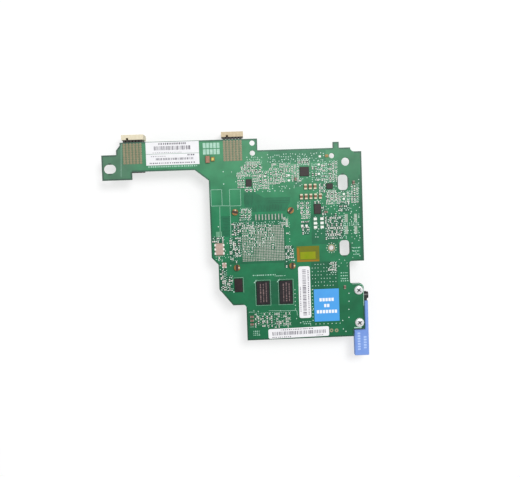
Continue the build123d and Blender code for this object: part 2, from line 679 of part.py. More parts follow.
def release_lever():
    """Moulded arm and handle, hollow below with cross ribs."""
    handle_x = NOTCH_X + HANDLE_SIDE_GAP
    handle_y = NOTCH_Y - HANDLE_END_GAP
    outline = FilletPolyline(
        (HUB_X, LEVER_ROOT_Y),
        (LEVER_RIGHT_X, LEVER_ROOT_Y),
        (LEVER_RIGHT_X, LEVER_TIP_Y),
        (handle_x, LEVER_TIP_Y),
        (handle_x, handle_y),
        (HUB_X, handle_y),
        radius=[0.0, 0.0, HANDLE_RADIUS, HANDLE_RADIUS, HANDLE_RADIUS, 0.0],
        close=True,
    )
    lever = extrude(Pos(0, 0, LEVER_BOTTOM_Z) * make_face(outline), LEVER_TOP_Z - LEVER_BOTTOM_Z)
    lever = chamfer(lever.faces().sort_by(Axis.Z)[-1].edges(), HANDLE_EDGE)
    hollow_xs = (handle_x + HANDLE_WALL, LEVER_RIGHT_X - HANDLE_WALL)
    hollow_ys = (LEVER_TIP_Y + HANDLE_WALL, handle_y - HANDLE_WALL)
    hollow_zs = (LEVER_BOTTOM_Z, LEVER_TOP_Z - HANDLE_WALL)
    lever -= cuboid(hollow_xs, hollow_ys, hollow_zs)
    cell = (hollow_ys[1] - hollow_ys[0]) / (HANDLE_RIBS + 1)
    for rib in range(1, HANDLE_RIBS + 1):
        y = hollow_ys[0] + rib * cell
        lever += cuboid(hollow_xs, (y - RIB_THICKNESS / 2, y + RIB_THICKNESS / 2), hollow_zs)
    return lever - tang()


def all_nodes():
    """Every node of the card by name."""
    nodes = {"circuit_board": circuit_board()}
    for side, x in CONNECTOR_XS.items():
        nodes[f"{side}_connector_housing"] = connector_housing(x)
        nodes[f"{side}_connector_wafers"] = connector_wafers(x)
        nodes[f"{side}_connector_pins"] = connector_pins(x)
    nodes["controller_chip"] = controller_chip()
    nodes["controller_lid"] = controller_lid()
    nodes["thermal_pad"] = thermal_pad()
    nodes["heat_sink"] = heat_sink()
    nodes["push_pins"] = push_pins()
    nodes["push_pin_springs"] = push_pin_springs()
    nodes["mezzanine_connector"] = mezzanine_connector()
    for number, centre in enumerate(MEMORY_CENTRES, 1):
        nodes[f"memory_chip_{number}"] = moulded_chip(centre, MEMORY_SIZE)
    nodes["flash_chip"] = moulded_chip(FLASH_CENTRE, FLASH_SIZE)
    nodes["regulator_chip"] = moulded_chip(REGULATOR_CENTRE, REGULATOR_SIZE)
    nodes["small_regulator_chip"] = moulded_chip(SMALL_REGULATOR_CENTRE, SMALL_REGULATOR_SIZE)
    nodes["power_switch"] = moulded_chip(POWER_SWITCH_CENTRE, POWER_SWITCH_SIZE)
    nodes["logic_chip"] = moulded_chip(LOGIC_CENTRE, LOGIC_SIZE)
    nodes["oscillator"] = oscillator()
    nodes["crystal"] = canned_chip(CRYSTAL_CENTRE, CRYSTAL_SIZE)
    nodes["bulk_capacitors"] = bulk_capacitors()
    nodes["brown_capacitors"] = brown_capacitors()
    capacitors, resistors = small_parts()
    nodes["small_capacitors"] = capacitors
    nodes["small_resistors"] = resistors
    nodes["status_light"] = canned_chip(STATUS_LIGHT_CENTRE, STATUS_LIGHT_SIZE)
    nodes["arm_capacitor"] = moulded_chip(ARM_CAPACITOR_CENTRE, ARM_CAPACITOR_SIZE)
    nodes["arm_light"] = moulded_chip(ARM_LIGHT_CENTRE, ARM_LIGHT_SIZE)
    nodes["arm_upper_label"] = arm_label(ARM_UPPER_LABEL)
    nodes["arm_lower_label"] = arm_label(ARM_LOWER_LABEL)
    nodes["upright_label"] = upright_label()
    for name, (centre, size, angle) in BOARD_LABELS.items():
        nodes[name] = label(centre, size, angle)
    nodes["power_inductors"] = power_inductors()
    nodes["lever_bracket"] = lever_bracket()
    nodes["bracket_screws"] = bracket_screws()
    nodes["pivot_pin"] = pivot_pin()
    nodes["lever_hub"] = lever_hub()
    nodes["release_lever"] = release_lever()
    return nodes


os.makedirs("parts", exist_ok=True)
for name, shape in all_nodes().items():
    solid = Compound(shape) if isinstance(shape, list) else shape
    export_step(solid, f"parts/{name}.step")
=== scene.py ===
import bmesh
import bpy
import math
import random
from mathutils import Matrix, Vector, noise as value_noise


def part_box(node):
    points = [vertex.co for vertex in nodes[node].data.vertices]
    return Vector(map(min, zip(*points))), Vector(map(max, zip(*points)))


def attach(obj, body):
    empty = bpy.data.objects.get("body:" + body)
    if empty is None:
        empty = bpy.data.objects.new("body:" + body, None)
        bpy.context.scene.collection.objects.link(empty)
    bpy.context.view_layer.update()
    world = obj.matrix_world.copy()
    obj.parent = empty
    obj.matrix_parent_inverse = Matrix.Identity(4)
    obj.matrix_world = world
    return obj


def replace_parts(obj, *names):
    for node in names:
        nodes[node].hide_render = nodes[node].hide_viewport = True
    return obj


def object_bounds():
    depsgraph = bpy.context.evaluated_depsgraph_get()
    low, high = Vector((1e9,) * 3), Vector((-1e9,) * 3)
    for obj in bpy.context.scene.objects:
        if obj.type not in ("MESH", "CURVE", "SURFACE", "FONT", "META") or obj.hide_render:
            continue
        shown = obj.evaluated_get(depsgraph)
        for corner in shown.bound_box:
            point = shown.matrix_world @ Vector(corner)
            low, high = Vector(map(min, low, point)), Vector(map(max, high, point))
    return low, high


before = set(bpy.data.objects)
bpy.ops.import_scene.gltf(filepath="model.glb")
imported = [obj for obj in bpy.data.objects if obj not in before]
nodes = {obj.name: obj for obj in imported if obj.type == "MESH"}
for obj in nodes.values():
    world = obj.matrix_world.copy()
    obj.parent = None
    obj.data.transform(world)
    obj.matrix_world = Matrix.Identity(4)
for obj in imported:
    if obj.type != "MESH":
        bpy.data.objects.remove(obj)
size_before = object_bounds()
chance = random.Random(11)

# Lengths and places are in millimetres in the shared frame, and meshes are made in metres
MM = 0.001
BOARD_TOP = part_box("circuit_board")[1].z / MM

# Heights of print, lacquer and painted shade over what carries them, and the step that keeps flat shapes
# apart
PRINT_LIFT = 0.02
POUR_LIFT = 0.01
SHADE_AMONG_PARTS_LIFT = 0.012
TRACE_LIFT = 0.014
LAYER_STEP = 0.0002
PRINT_Z = BOARD_TOP + PRINT_LIFT
DOT_SPREAD = PRINT_LIFT / 4

# Lacquer: Y of its three tones, where the arm turns dull, where the corner turns dark with painted
# shade, mottle and gloss
TONE_YS = (-95.0, -30.0, 6.0)
DULL_XS = (-118.0, -134.0)
DULL_SATURATION = 0.74
DULL_VALUE = 0.78
SHADE_XS = (-12.0, 4.0)
SHADE_YS = (-70.0, -10.0)
SHADE_VALUE = 0.74
MOTTLE = (0.86, 1.14)
MOTTLE_SCALE = 140.0
MOTTLE_DETAIL = 5.0
LACQUER_ROUGHNESS = (0.34, 0.46)
ROUGHNESS_SCALE = 600.0
LACQUER_SPECULAR = 0.3
RAW_EDGE = (86, 104, 76)

# Bright ends of the chip parts: share of the length, and how far they stand proud
CAP_SHARES = {
    "small_capacitors": 0.28,
    "small_resistors": 0.24,
    "brown_capacitors": 0.22,
    "bulk_capacitors": 0.27,
}
FINE_CAP_SHARE = 0.36
CAP_SWELL = Vector((0.02, 0.02, 0.02))

# Plated terminals of the metal-lidded parts: places along Y from the middle, and width
CAN_TERMINALS = {
    "oscillator": ((-2.54, 0.0, 2.54), 1.3),
    "crystal": ((-1.1, 1.1), 0.8),
}
TERMINAL_DROP = 0.1

# Fine chip parts: left and right, bottom and top of each field, long side along Y, share filled
FINE_SIZE = Vector((0.7, 1.3, 0.4))
FINE_PITCH = Vector((1.4, 2.05))
FINE_FIELDS = (
    ((-19.2, -14.0), (-11.6, -1.0), True, 0.6),
    ((-28.0, -23.4), (-44.0, -35.4), True, 0.75),
    ((-17.0, -12.8), (-18.6, -12.8), True, 0.6),
    ((-20.6, -16.0), (-26.6, -23.4), False, 0.7),
    ((-15.6, -12.6), (-32.4, -26.8), True, 0.7),
    ((-31.6, -27.0), (-14.4, -8.6), False, 0.6),
    ((-13.8, -2.4), (-47.6, -33.2), True, 0.9),
    ((-5.2, 1.8), (-30.6, -24.4), True, 0.75),
    ((-71.0, -65.0), (-43.2, -35.0), True, 0.8),
    ((-72.8, -65.6), (-56.0, -44.0), False, 0.9),
    ((-59.4, -45.4), (-52.0, -36.6), True, 0.4),
    ((-38.4, -35.6), (-49.0, -36.0), False, 0.4),
    ((-38.8, -33.4), (-58.4, -50.2), True, 0.75),
    ((-39.4, -36.4), (-63.8, -59.0), False, 0.85),
    ((-79.4, -75.0), (-76.6, -62.8), False, 0.75),
    ((-75.0, -71.4), (-77.4, -67.6), True, 0.55),
    ((-12.8, -7.2), (-68.8, -61.2), True, 0.8),
    ((-83.0, -76.0), (-47.2, -43.2), True, 1.0),
    ((-82.4, -76.0), (-59.0, -55.4), True, 0.5),
)
# The same where the parts are smaller and closer together
CLOSE_SCALE = 0.78
CLOSE_FIELDS = (
    ((-61.8, -51.2), (-4.4, 2.1), True, 1.0),
    ((-64.2, -61.8), (-4.4, -0.8), False, 0.9),
    ((-67.0, -58.4), (-7.2, -4.4), True, 1.0),
    ((-66.6, -62.0), (-12.6, -7.2), False, 1.0),
    ((-58.4, -53.8), (-12.8, -4.4), True, 1.0),
    ((-62.4, -53.8), (-16.1, -12.8), True, 0.9),
    ((-53.8, -47.0), (-15.4, -4.0), True, 1.0),
    ((-47.0, -40.6), (-12.6, -2.4), True, 1.0),
    ((-45.6, -40.6), (-2.4, 0.4), True, 0.5),
    ((-40.6, -33.8), (-11.6, 0.4), True, 0.75),
    ((-29.6, -22.0), (-1.8, 2.8), True, 0.85),
    ((-33.6, -28.6), (-11.0, -0.6), False, 0.9),
    ((-10.4, -5.0), (-12.4, 0.8), False, 0.95),
    ((-64.8, -57.4), (-42.4, -34.8), True, 0.5),
    ((-40.6, -36.4), (-38.8, -32.6), False, 0.5),
    ((-12.8, -4.9), (-26.0, -17.0), True, 0.95),
    ((2.6, 7.6), (-25.4, -13.6), False, 0.85),
    ((-4.9, 1.8), (-25.0, -18.4), False, 0.85),
    ((-30.8, -22.4), (-28.4, -23.4), False, 0.85),
    ((-28.4, -22.4), (-34.4, -28.4), False, 0.7),
    ((-64.8, -58.6), (-57.0, -42.4), True, 0.35),
    ((-58.8, -46.6), (-100.0, -91.2), True, 0.5),
    ((-46.6, -36.6), (-101.0, -91.2), True, 0.45),
    ((-36.4, -32.8), (-62.2, -58.6), True, 0.7),
    ((-13.8, -10.4), (-13.0, -8.0), True, 0.8),
    ((-72.4, -68.2), (-60.0, -56.4), True, 0.35),
    ((-66.0, -58.6), (-34.2, -26.4), True, 0.6),
)

# How the fine parts lie: ragged rims, jitter, patches left empty, turned parts and the vias between them
RAGGED_SHARE = 0.75
JITTER = 0.12
PATCH_SCALE = 0.45
PATCH_LIMIT = 0.2
TURNED_SHARE = 0.3
DENSE_FILL = 0.5
EMPTY_PLACE_VIA = 0.36
BETWEEN_VIA = 0.24

# Free places: clearance, least height of what takes one up, merging of a solid's points, nodes left out
CLEARANCE = 0.12
SEAT_TOLERANCE = 0.01
MERGE_DISTANCE = 0.001
BOARD_LEVEL_NODES = ("circuit_board", "lever_hub", "release_lever")

# Holes that fine parts and vias keep clear of: lowest and highest corner
HOLES = (
    ((-5.2, -17.6), (1.4, -7.6)),
    ((-5.2, -57.8), (1.4, -47.8)),
    ((-13.6, -56.0), (-6.4, -49.0)),
    ((-10.2, 2.0), (-6.4, 5.8)),
    ((-3.0, -3.0), (3.0, 3.0)),
)

# Bare pads, empty footprints as a grid of start, pitch and counts, plated hole with its ring of dots
LONE_PAD_SIZE = Vector((1.4, 1.2))
LONE_PADS = (
    (-52.6, -6.9), (-49.5, -7.2), (-35.0, -7.2), (-35.0, -10.3), (-16.4, -1.2),
    (-16.5, -6.9), (-15.6, 3.7), (-1.5, -19.7), (-1.6, -22.7), (-27.8, -27.5),
    (-24.1, -27.5), (-27.8, -30.2), (-24.1, -30.2), (-27.6, -38.3), (-25.0, -38.3),
)
PAIRED_PAD_SIZE = (2.0, 1.6)
PAIRED_PAD_XS = (-19.5, -15.4)
PAIRED_PAD_YS = (-34.4, -37.0, -39.5)
FOOTPRINT_SIZE = (1.8, 4.9)
FOOTPRINTS = ((-0.4, -34.5), (5.7, -7.4), (2, 2))
PLATED_HOLE = Vector((-10.0, -52.5))
PLATED_RING = (1.4, 2.2, 24)
PLATED_DOTS = 12
PLATED_DOT_CIRCLE = 3.0
PLATED_DOT_RADIUS = 0.26

# Vias on loose grids: left and right, bottom and top, pitch, share filled
VIA_PATCHES = (
    ((-48.0, -12.0), (0.6, 6.8), 1.4, 0.6),
    ((-62.0, -50.0), (2.4, 5.0), 1.3, 0.6),
    ((-52.0, -30.0), (-17.4, -12.6), 1.5, 0.5),
    ((-72.0, -66.0), (-18.0, -3.0), 3.0, 0.3),
    ((-20.5, 8.4), (-48.0, -9.0), 1.7, 0.5),
    ((-60.0, -8.0), (-101.5, -88.0), 2.6, 0.3),
    ((2.0, 8.6), (-59.5, -26.0), 2.0, 0.5),
    ((-80.0, -70.0), (-64.0, -46.0), 1.8, 0.5),
    ((-30.0, -6.0), (-10.0, 2.0), 1.4, 0.6),
    ((-56.0, -38.0), (-37.4, -34.4), 1.3, 0.7),
    ((-6.6, 1.0), (-64.6, -57.8), 1.8, 0.5),
)
PLACE_SPREAD = (0.25, 0.75)
PATCH_VIA_RADII = (0.24, 0.36)

# Vias in lines: start, end, pitch
VIA_LINES = (
    ((-20.6, -0.8), (-20.6, -11.4), 1.15),
    ((-13.0, -0.6), (-13.0, -11.6), 1.15),
    ((-11.6, -0.6), (-11.6, -11.6), 1.15),
    ((-1.7, -31.6), (-1.7, -45.0), 1.15),
    ((-1.0, -37.7), (6.8, -37.7), 1.15),
    ((-1.0, -38.9), (6.8, -38.9), 1.15),
    ((-22.7, -78.0), (-22.7, -97.0), 2.1),
    ((-33.4, -77.6), (-33.4, -89.6), 2.4),
    ((-21.0, -99.4), (-6.0, -99.4), 2.3),
)
LINE_VIA_RADIUS = 0.3

# Vias in a grid above the blue label, with every fifth place empty
POWER_VIAS = ((-22.3, -62.4), (1.8, -2.2), (9, 8))
POWER_VIA_GAP = 5
POWER_VIA_RADIUS = 0.27

# Single vias along the edge, and the sides of every round via
EDGE_VIAS = (
    (-74.8, -3.7), (-74.8, -11.2), (-79.0, -37.1), (0.0, -81.0), (-0.1, -86.0),
    (-0.3, -91.0), (-0.4, -96.0), (-4.3, -97.8), (-4.1, -103.1), (-2.5, -104.7),
)
EDGE_VIA_RADIUS = 0.36
DOT_SIDES = 8

# Grids of the vias behind the controller, smaller on the left, and of the test pads above them
BALL_GRID = ((-64.5, -58.7), (1.0, 1.0), (26, 22))
BALL_RADIUS = 0.41
SMALL_BALL_COLUMNS = 10
SMALL_BALL_RADIUS = 0.36
TEST_PADS = ((-55.9, -32.2), (2.0, 0.0), (9, 1))
TEST_PAD_SIZE = (0.62, 3.5)

# Rings at the contact tails and two gold spots: inner radius, outer radius, sides
TAIL_RING = (0.25, 0.69, 12)
PIN_FIELD_MARGIN = 0.5
GOLD_SPOTS = ((-11.5, -103.7), (-8.3, -103.8))
GOLD_SPOT_RING = (0.45, 1.15, 14)

# Tips of the push pins: turns of the slot, drawn wide with painted shade, and of the glint, from the
# left
TIP_TURNS = ((90.0, 0.0), (-15.0, 80.0), (85.0, 0.0), (50.0, 190.0))
TIP_SLOT_SIZE = (3.6, 1.4)
GLINT_REACH = 1.25
GLINT_RADIUS = 0.5

# Darker lacquer over inner copper: left and right, bottom and top, and the outline of one field
POURS = (
    ((-77.2, -71.6), (-43.4, -30.8)),
    ((-66.5, -38.0), (-60.5, -31.0)),
    ((-22.0, -6.0), (-50.0, -31.6)),
    ((-23.0, -6.6), (-79.4, -60.8)),
    ((-48.8, -43.1), (-86.0, -71.6)),
    ((7.8, 9.0), (-60.2, -8.2)),
    ((-72.8, -66.6), (-60.4, -56.0)),
    ((-47.0, -12.0), (0.4, 7.6)),
)
TRACE_FIELD = (
    (-62.7, -16.6), (-62.7, -25.3), (-57.5, -29.0), (-37.9, -29.0),
    (-34.6, -23.5), (-34.6, -20.3), (-50.5, -20.3), (-56.6, -16.6),
)

# Bundles of traces: left and right, bottom and top, pitch, along Y
TRACE_BUNDLES = (
    ((-57.0, -38.5), (-28.8, -24.2), 0.95, True),
    ((-62.4, -56.6), (-24.8, -17.2), 0.8, True),
    ((-49.0, -34.8), (-23.6, -20.6), 1.1, False),
    ((-76.8, -72.0), (-43.0, -31.0), 0.9, False),
)
TRACE_WIDTH = 0.3
TRACE_RAGGED_END = 1.5

# Lacquer margin along the board's edge
MARGIN_WIDTH = 0.9
SHORTEST_EDGE = 1.0
RIM_TOLERANCE = 0.01
UPRIGHT_SLOPE = 0.1

# Silkscreen frames by their corners, and lines: width, then the points that each runs through
LINE = 0.2
THIN_LINE = 0.14
LEGEND_FRAMES = (((-82.8, -24.4), (-76.2, -14.5)), ((-71.5, -24.7), (-64.8, -14.6)))
LEGEND_LINES = (
    (0.15, ((-135.8, 15.2), (-136.7, -5.0))),
    (LINE, ((-76.2, -24.4), (-71.5, -24.6))),
    (LINE, ((-77.7, -24.4), (-78.1, -43.5))),
    (LINE, ((-71.4, -24.7), (-71.6, -43.8))),
    (LINE, ((-49.9, -90.0), (-32.6, -90.5), (-32.3, -93.6))),
    (LINE, ((-62.2, -90.4), (-58.4, -90.4))),
    (LINE, ((-62.0, -99.6), (-59.2, -99.6))),
    (0.7, ((2.7, -102.6), (7.3, -102.6))),
    (0.3, ((2.2, -75.3), (6.2, -75.3), (8.3, -76.2), (9.0, -78.2), (9.0, -89.0))),
)

# Silkscreen blocks on the arm, as a grid
LEGEND_BLOCKS = ((-85.8, 12.4), (2.1, -3.8), (5, 2))
LEGEND_BLOCK_SIZE = (1.7, 3.2)

# Silkscreen round the memory and flash chips
MEMORY_CHIPS = ("memory_chip_1", "memory_chip_2")
MEMORY_FRAME_GAP = Vector((0.6, 0.6))
MEMORY_TICK = ((-1.4, -1.0), (0.4, 0.9))
MEMORY_TICK_WIDTH = 0.5
FLASH_LINE_GAP = 0.5
FLASH_LINE_START = 0.4
FLASH_DOT = (-70.9, -77.5)
FLASH_DOT_RADIUS = 0.5

# Rows of short marks: left, right, height, Y of each row
MARK_ROWS = (
    (-120.0, -90.5, 0.9, (0.55,)),
    (-59.0, -45.0, 0.6, (-67.8,)),
    (-45.5, -38.5, 0.4, (-68.6,)),
    (-4.8, -0.6, 0.6, (-68.2, -70.0, -71.8, -73.2)),
    (3.4, 7.0, 0.6, (-53.0, -55.0, -57.0)),
    (-29.3, -23.8, 0.5, (-97.7,)),
    (-28.6, -24.4, 0.5, (-98.9,)),
    (-59.8, -55.6, 0.5, (-102.4, -103.6, -104.8)),
    (0.6, 2.6, 0.5, (-18.0, -19.6, -21.2, -22.8)),
)
MARK_WIDTHS = (0.36, 0.9)
MARK_GAPS = (0.35, 0.75)

# Faint square above the oscillator, and the painted glint on the arm's light
FAINT_SQUARE = (-78.8, -41.8)
FAINT_SQUARE_SIZE = (3.6, 3.2)
ARM_GLINT_RADIUS = 0.7

# Paper labels with rounded corners: size, turn, corner radius
PAPER_THICKNESS = 0.12
PAPER_TOP = BOARD_TOP + PAPER_THICKNESS + PRINT_LIFT
ROUNDED_LABELS = {
    "upright_label": ((7.3, 32.0), 0.0, 1.2),
    "bottom_label": ((37.6, 6.0), 0.8, 1.0),
}
CORNER_STEPS = 4

# Label print: turn, rows of marks, bar code, with left, right, Y and height from the label's middle
LABEL_PRINTS = {
    "arm_upper": (
        0.0,
        ((-8.4, 8.0, 2.4, 1.1), (-12.0, 6.0, -2.9, 0.25)),
        (-10.9, 11.6, -0.2, 2.4),
    ),
    "arm_lower": (
        0.0,
        ((9.0, 13.4, 2.5, 0.8), (-13.0, -4.0, 2.0, 0.4), (-14.0, 14.0, -2.1, 0.7)),
        (-10.0, 12.6, 0.3, 1.3),
    ),
    "upright": (
        90.0,
        ((-14.0, 13.5, -2.4, 0.6), (-12.0, 3.0, 2.6, 0.5)),
        (-14.2, 14.2, 0.1, 2.2),
    ),
    "bottom": (
        0.8,
        ((-11.0, 8.0, 2.1, 0.6), (-16.5, -5.0, -2.3, 0.5), (11.0, 15.0, -2.2, 0.5)),
        (-16.0, 17.0, 0.0, 2.2),
    ),
}
CODE_WIDTHS = (0.18, 0.6)
CODE_GAPS = (0.2, 0.7)

# Blocks on the blue label: Y from its middle and count of each row
PRESS_ROWS = ((3.4, 5), (-0.3, 2), (-4.0, 7))
PRESS_BLOCK_PITCH = 1.85
PRESS_BLOCK_SIZE = (1.4, 2.0)

# Tints of the film label
LIME_XS = (-29.4, -20.0)
LIME_YS = (-58.9, -54.4)
ORANGE_LEFT = ((-31.4, -60.4), (-29.6, -60.4), (-30.2, -52.0), (-31.4, -52.0))
ORANGE_BOTTOM_XS = (-29.6, -18.0)
ORANGE_BOTTOM_YS = (-60.4, -59.5)

# Print on the memory chips: places of the columns across the chip, then margins and sizes along it
CHIP_COLUMNS = (0.3, 0.52, 0.74)
CHIP_PRINT_BOTTOM = 1.6
CHIP_PRINT_TOP = 2.4
CHIP_PRINT_LENGTHS = (0.5, 1.6)
CHIP_PRINT_WIDTHS = (0.4, 0.8)
CHIP_PRINT_GAPS = (0.2, 0.6)

# Pan-head screws: radius and height over the board along the head's profile, and the cross recess drawn
# as painted shadow
SCREW_RADIUS = 1.5
HEAD_RADIUS = 2.8
HEAD_HEIGHT = 1.66
HEAD_PROFILE = (
    (SCREW_RADIUS, 0.0), (HEAD_RADIUS, 0.0), (HEAD_RADIUS, 0.6),
    (2.62, 1.12), (2.15, 1.5), (1.5, 1.64), (0.0, HEAD_HEIGHT),
)
CROSS_SIZE = (3.1, 0.9)
CROSS_TURNS = (35.0, 50.0)

# Contact strips on the tongue of the mezzanine connector, from the connector's middle, end and base
STRIP_PITCH = (2.3, 1.25)
STRIP_COUNTS = (2, 24)
STRIP_INSET = 3.6
STRIP_SIZE = (0.24, 0.6)
STRIP_HEIGHTS = (1.0, 5.8)

# Blocks on the lever's handle: start and count of each column
LEVER_COLUMNS = (((5.6, -106.4), 7), ((9.4, -108.8), 5))
LEVER_BLOCK_SIZE = (1.7, 1.1)
LEVER_BLOCK_PITCH = (0.0, -1.65)

# Stage: floor that shows white with a trace of shadow, one soft light, pale surroundings
FLOOR_SIZE = 6000.0
FLOOR_COLOURS = ((250, 250, 250), (246, 246, 247))
FLOOR_SCALE = 3.0
FLOOR_ROUGHNESS = 0.9
FLOOR_GLOW = 0.58
GLOW_STRENGTH = 1.1
KEY_PLACE = Vector((320.0, 460.0, 1400.0))
KEY_TARGET = Vector((-60.0, -40.0, 0.0))
KEY_SIZE = 560.0
KEY_POWER = 14.0
WORLD_STRENGTH = 0.5

# Camera: above the label side with a slight tilt, turns in radians about Z, X and Y
IMAGE_WIDTH = 520.0
FOCAL_PIXELS = 700.0
SENSOR = 36.0
CAMERA_TURNS = (("Z", 0.03398258), ("X", 0.05467945), ("Y", 0.03101425))
CAMERA_PLACE = (-52.2288, -47.0304, 428.1048)
CLIP_START = 10.0

# Materials: middle of the noise, unevenness of gloss, grain, and the colour sockets of a mix
NOISE_MIDDLE = (0.3, 0.7)
GLOSS_SPREAD = 0.15
GRAIN_DEPTH = 0.1
GRAIN_FINENESS = 4
COLOUR_INPUTS = (6, 7)
COLOUR_OUTPUT = 2


def srgb(red, green, blue):
    """Linear colour from 0 to 255 screen values."""
    linear = []
    for value in (red, green, blue):
        share = value / 255
        linear.append(share / 12.92 if share <= 0.04045 else ((share + 0.055) / 1.055) ** 2.4)
    return (*linear, 1.0)


def blank_material(name):
    """New node material with its shader."""
    material = bpy.data.materials.new(name)
    material.use_nodes = True
    return material, material.node_tree, material.node_tree.nodes["Principled BSDF"]


def noise(tree, scale, detail=3.0):
    """Noise over the piece's own coordinates."""
    place = tree.nodes.new("ShaderNodeTexCoord")
    texture = tree.nodes.new("ShaderNodeTexNoise")
    texture.inputs["Scale"].default_value = scale
    texture.inputs["Detail"].default_value = detail
    tree.links.new(place.outputs["Object"], texture.inputs["Vector"])
    return texture.outputs["Fac"]


def spread(tree, factor, low=0.0, high=1.0):
    """Maps noise around its middle to a range of values."""
    mapping = tree.nodes.new("ShaderNodeMapRange")
    mapping.inputs["From Min"].default_value = NOISE_MIDDLE[0]
    mapping.inputs["From Max"].default_value = NOISE_MIDDLE[1]
    mapping.inputs["To Min"].default_value = low
    mapping.inputs["To Max"].default_value = high
    tree.links.new(factor, mapping.inputs["Value"])
    return mapping.outputs["Result"]


def blend(tree, factor, first, second):
    """Mix of two colours or colour outputs by a factor output."""
    mix = tree.nodes.new("ShaderNodeMix")
    mix.data_type = "RGBA"
    tree.links.new(factor, mix.inputs["Factor"])
    for number, colour in zip(COLOUR_INPUTS, (first, second)):
        if isinstance(colour, tuple):
            mix.inputs[number].default_value = colour
        else:
            tree.links.new(colour, mix.inputs[number])
    return mix.outputs[COLOUR_OUTPUT]


def surface(name, colour, other, roughness, metallic=0.0, scale=900.0, bump=0.0, specular=0.5):
    """Material that varies between two near colours, with uneven gloss and a fine grain."""
    material, tree, shader = blank_material(name)
    factor = noise(tree, scale)
    varied = blend(tree, spread(tree, factor), srgb(*colour), srgb(*other))
    dull = roughness * (1 + GLOSS_SPREAD)
    glossy = roughness * (1 - GLOSS_SPREAD)
    tree.links.new(varied, shader.inputs["Base Color"])
    tree.links.new(spread(tree, factor, glossy, dull), shader.inputs["Roughness"])
    shader.inputs["Metallic"].default_value = metallic
    shader.inputs["Specular IOR Level"].default_value = specular
    if bump:
        relief = tree.nodes.new("ShaderNodeBump")
        relief.inputs["Strength"].default_value = bump
        relief.inputs["Distance"].default_value = GRAIN_DEPTH * MM
        tree.links.new(noise(tree, scale * GRAIN_FINENESS), relief.inputs["Height"])
        tree.links.new(relief.outputs["Normal"], shader.inputs["Normal"])
    return material


def way_along(tree, axis, start, end):
    """Share of the way between two places along an axis, in millimetres."""
    place = tree.nodes.new("ShaderNodeTexCoord")
    parts = tree.nodes.new("ShaderNodeSeparateXYZ")
    mapping = tree.nodes.new("ShaderNodeMapRange")
    mapping.inputs["From Min"].default_value = start * MM
    mapping.inputs["From Max"].default_value = end * MM
    tree.links.new(place.outputs["Object"], parts.inputs["Vector"])
    tree.links.new(parts.outputs[axis], mapping.inputs["Value"])
    return mapping.outputs["Result"]


def tones_along_y(tree, tones):
    """Colour that changes between three tones along Y."""
    low, middle, high = TONE_YS
    ramp = tree.nodes.new("ShaderNodeValToRGB")
    ramp.color_ramp.elements.new((middle - low) / (high - low))
    for element, tone in zip(ramp.color_ramp.elements, tones):
        element.color = srgb(*tone)
    tree.links.new(way_along(tree, "Y", low, high), ramp.inputs["Fac"])
    return ramp.outputs["Color"]


def changed(tree, colour, saturation=1.0, value=1.0):
    """Node that changes the saturation and value of a colour output."""
    change = tree.nodes.new("ShaderNodeHueSaturation")
    change.inputs["Saturation"].default_value = saturation
    change.inputs["Value"].default_value = value
    tree.links.new(colour, change.inputs["Color"])
    return change


def calculated(tree, operation, *values):
    """Result of an operation on one or two outputs."""
    result = tree.nodes.new("ShaderNodeMath")
    result.operation = operation
    for number, value in enumerate(values):
        tree.links.new(value, result.inputs[number])
    return result.outputs["Value"]


def solder_mask(name, *tones):
    """Mottled green lacquer, duller along the arm and darker at one corner with painted shade, with raw
    edges.
    """
    material, tree, shader = blank_material(name)
    dulled = changed(tree, tones_along_y(tree, tones), DULL_SATURATION, DULL_VALUE)
    tree.links.new(way_along(tree, "X", *DULL_XS), dulled.inputs["Fac"])
    # Painted shade: the value drops over the corner at the right, where the light falls strongest
    shaded = changed(tree, dulled.outputs["Color"], value=SHADE_VALUE)
    corner = calculated(tree, "MULTIPLY", way_along(tree, "X", *SHADE_XS), way_along(tree, "Y", *SHADE_YS))
    tree.links.new(corner, shaded.inputs["Fac"])
    mottled = changed(tree, shaded.outputs["Color"])
    mottle = spread(tree, noise(tree, MOTTLE_SCALE, MOTTLE_DETAIL), *MOTTLE)
    tree.links.new(mottle, mottled.inputs["Value"])
    facing = tree.nodes.new("ShaderNodeNewGeometry")
    parts = tree.nodes.new("ShaderNodeSeparateXYZ")
    tree.links.new(facing.outputs["Normal"], parts.inputs["Vector"])
    flat = calculated(tree, "ABSOLUTE", parts.outputs["Z"])
    colour = blend(tree, flat, srgb(*RAW_EDGE), mottled.outputs["Color"])
    tree.links.new(colour, shader.inputs["Base Color"])
    roughness = spread(tree, noise(tree, ROUGHNESS_SCALE), *LACQUER_ROUGHNESS)
    tree.links.new(roughness, shader.inputs["Roughness"])
    shader.inputs["Specular IOR Level"].default_value = LACQUER_SPECULAR
    return material


# Materials
MASK = solder_mask("solder_mask", (14, 104, 66), (28, 128, 84), (70, 143, 102))
POUR = solder_mask("solder_mask_over_copper", (10, 90, 58), (20, 110, 74), (54, 126, 90))
MARGIN = solder_mask("solder_mask_margin", (24, 84, 58), (36, 98, 70), (66, 112, 90))
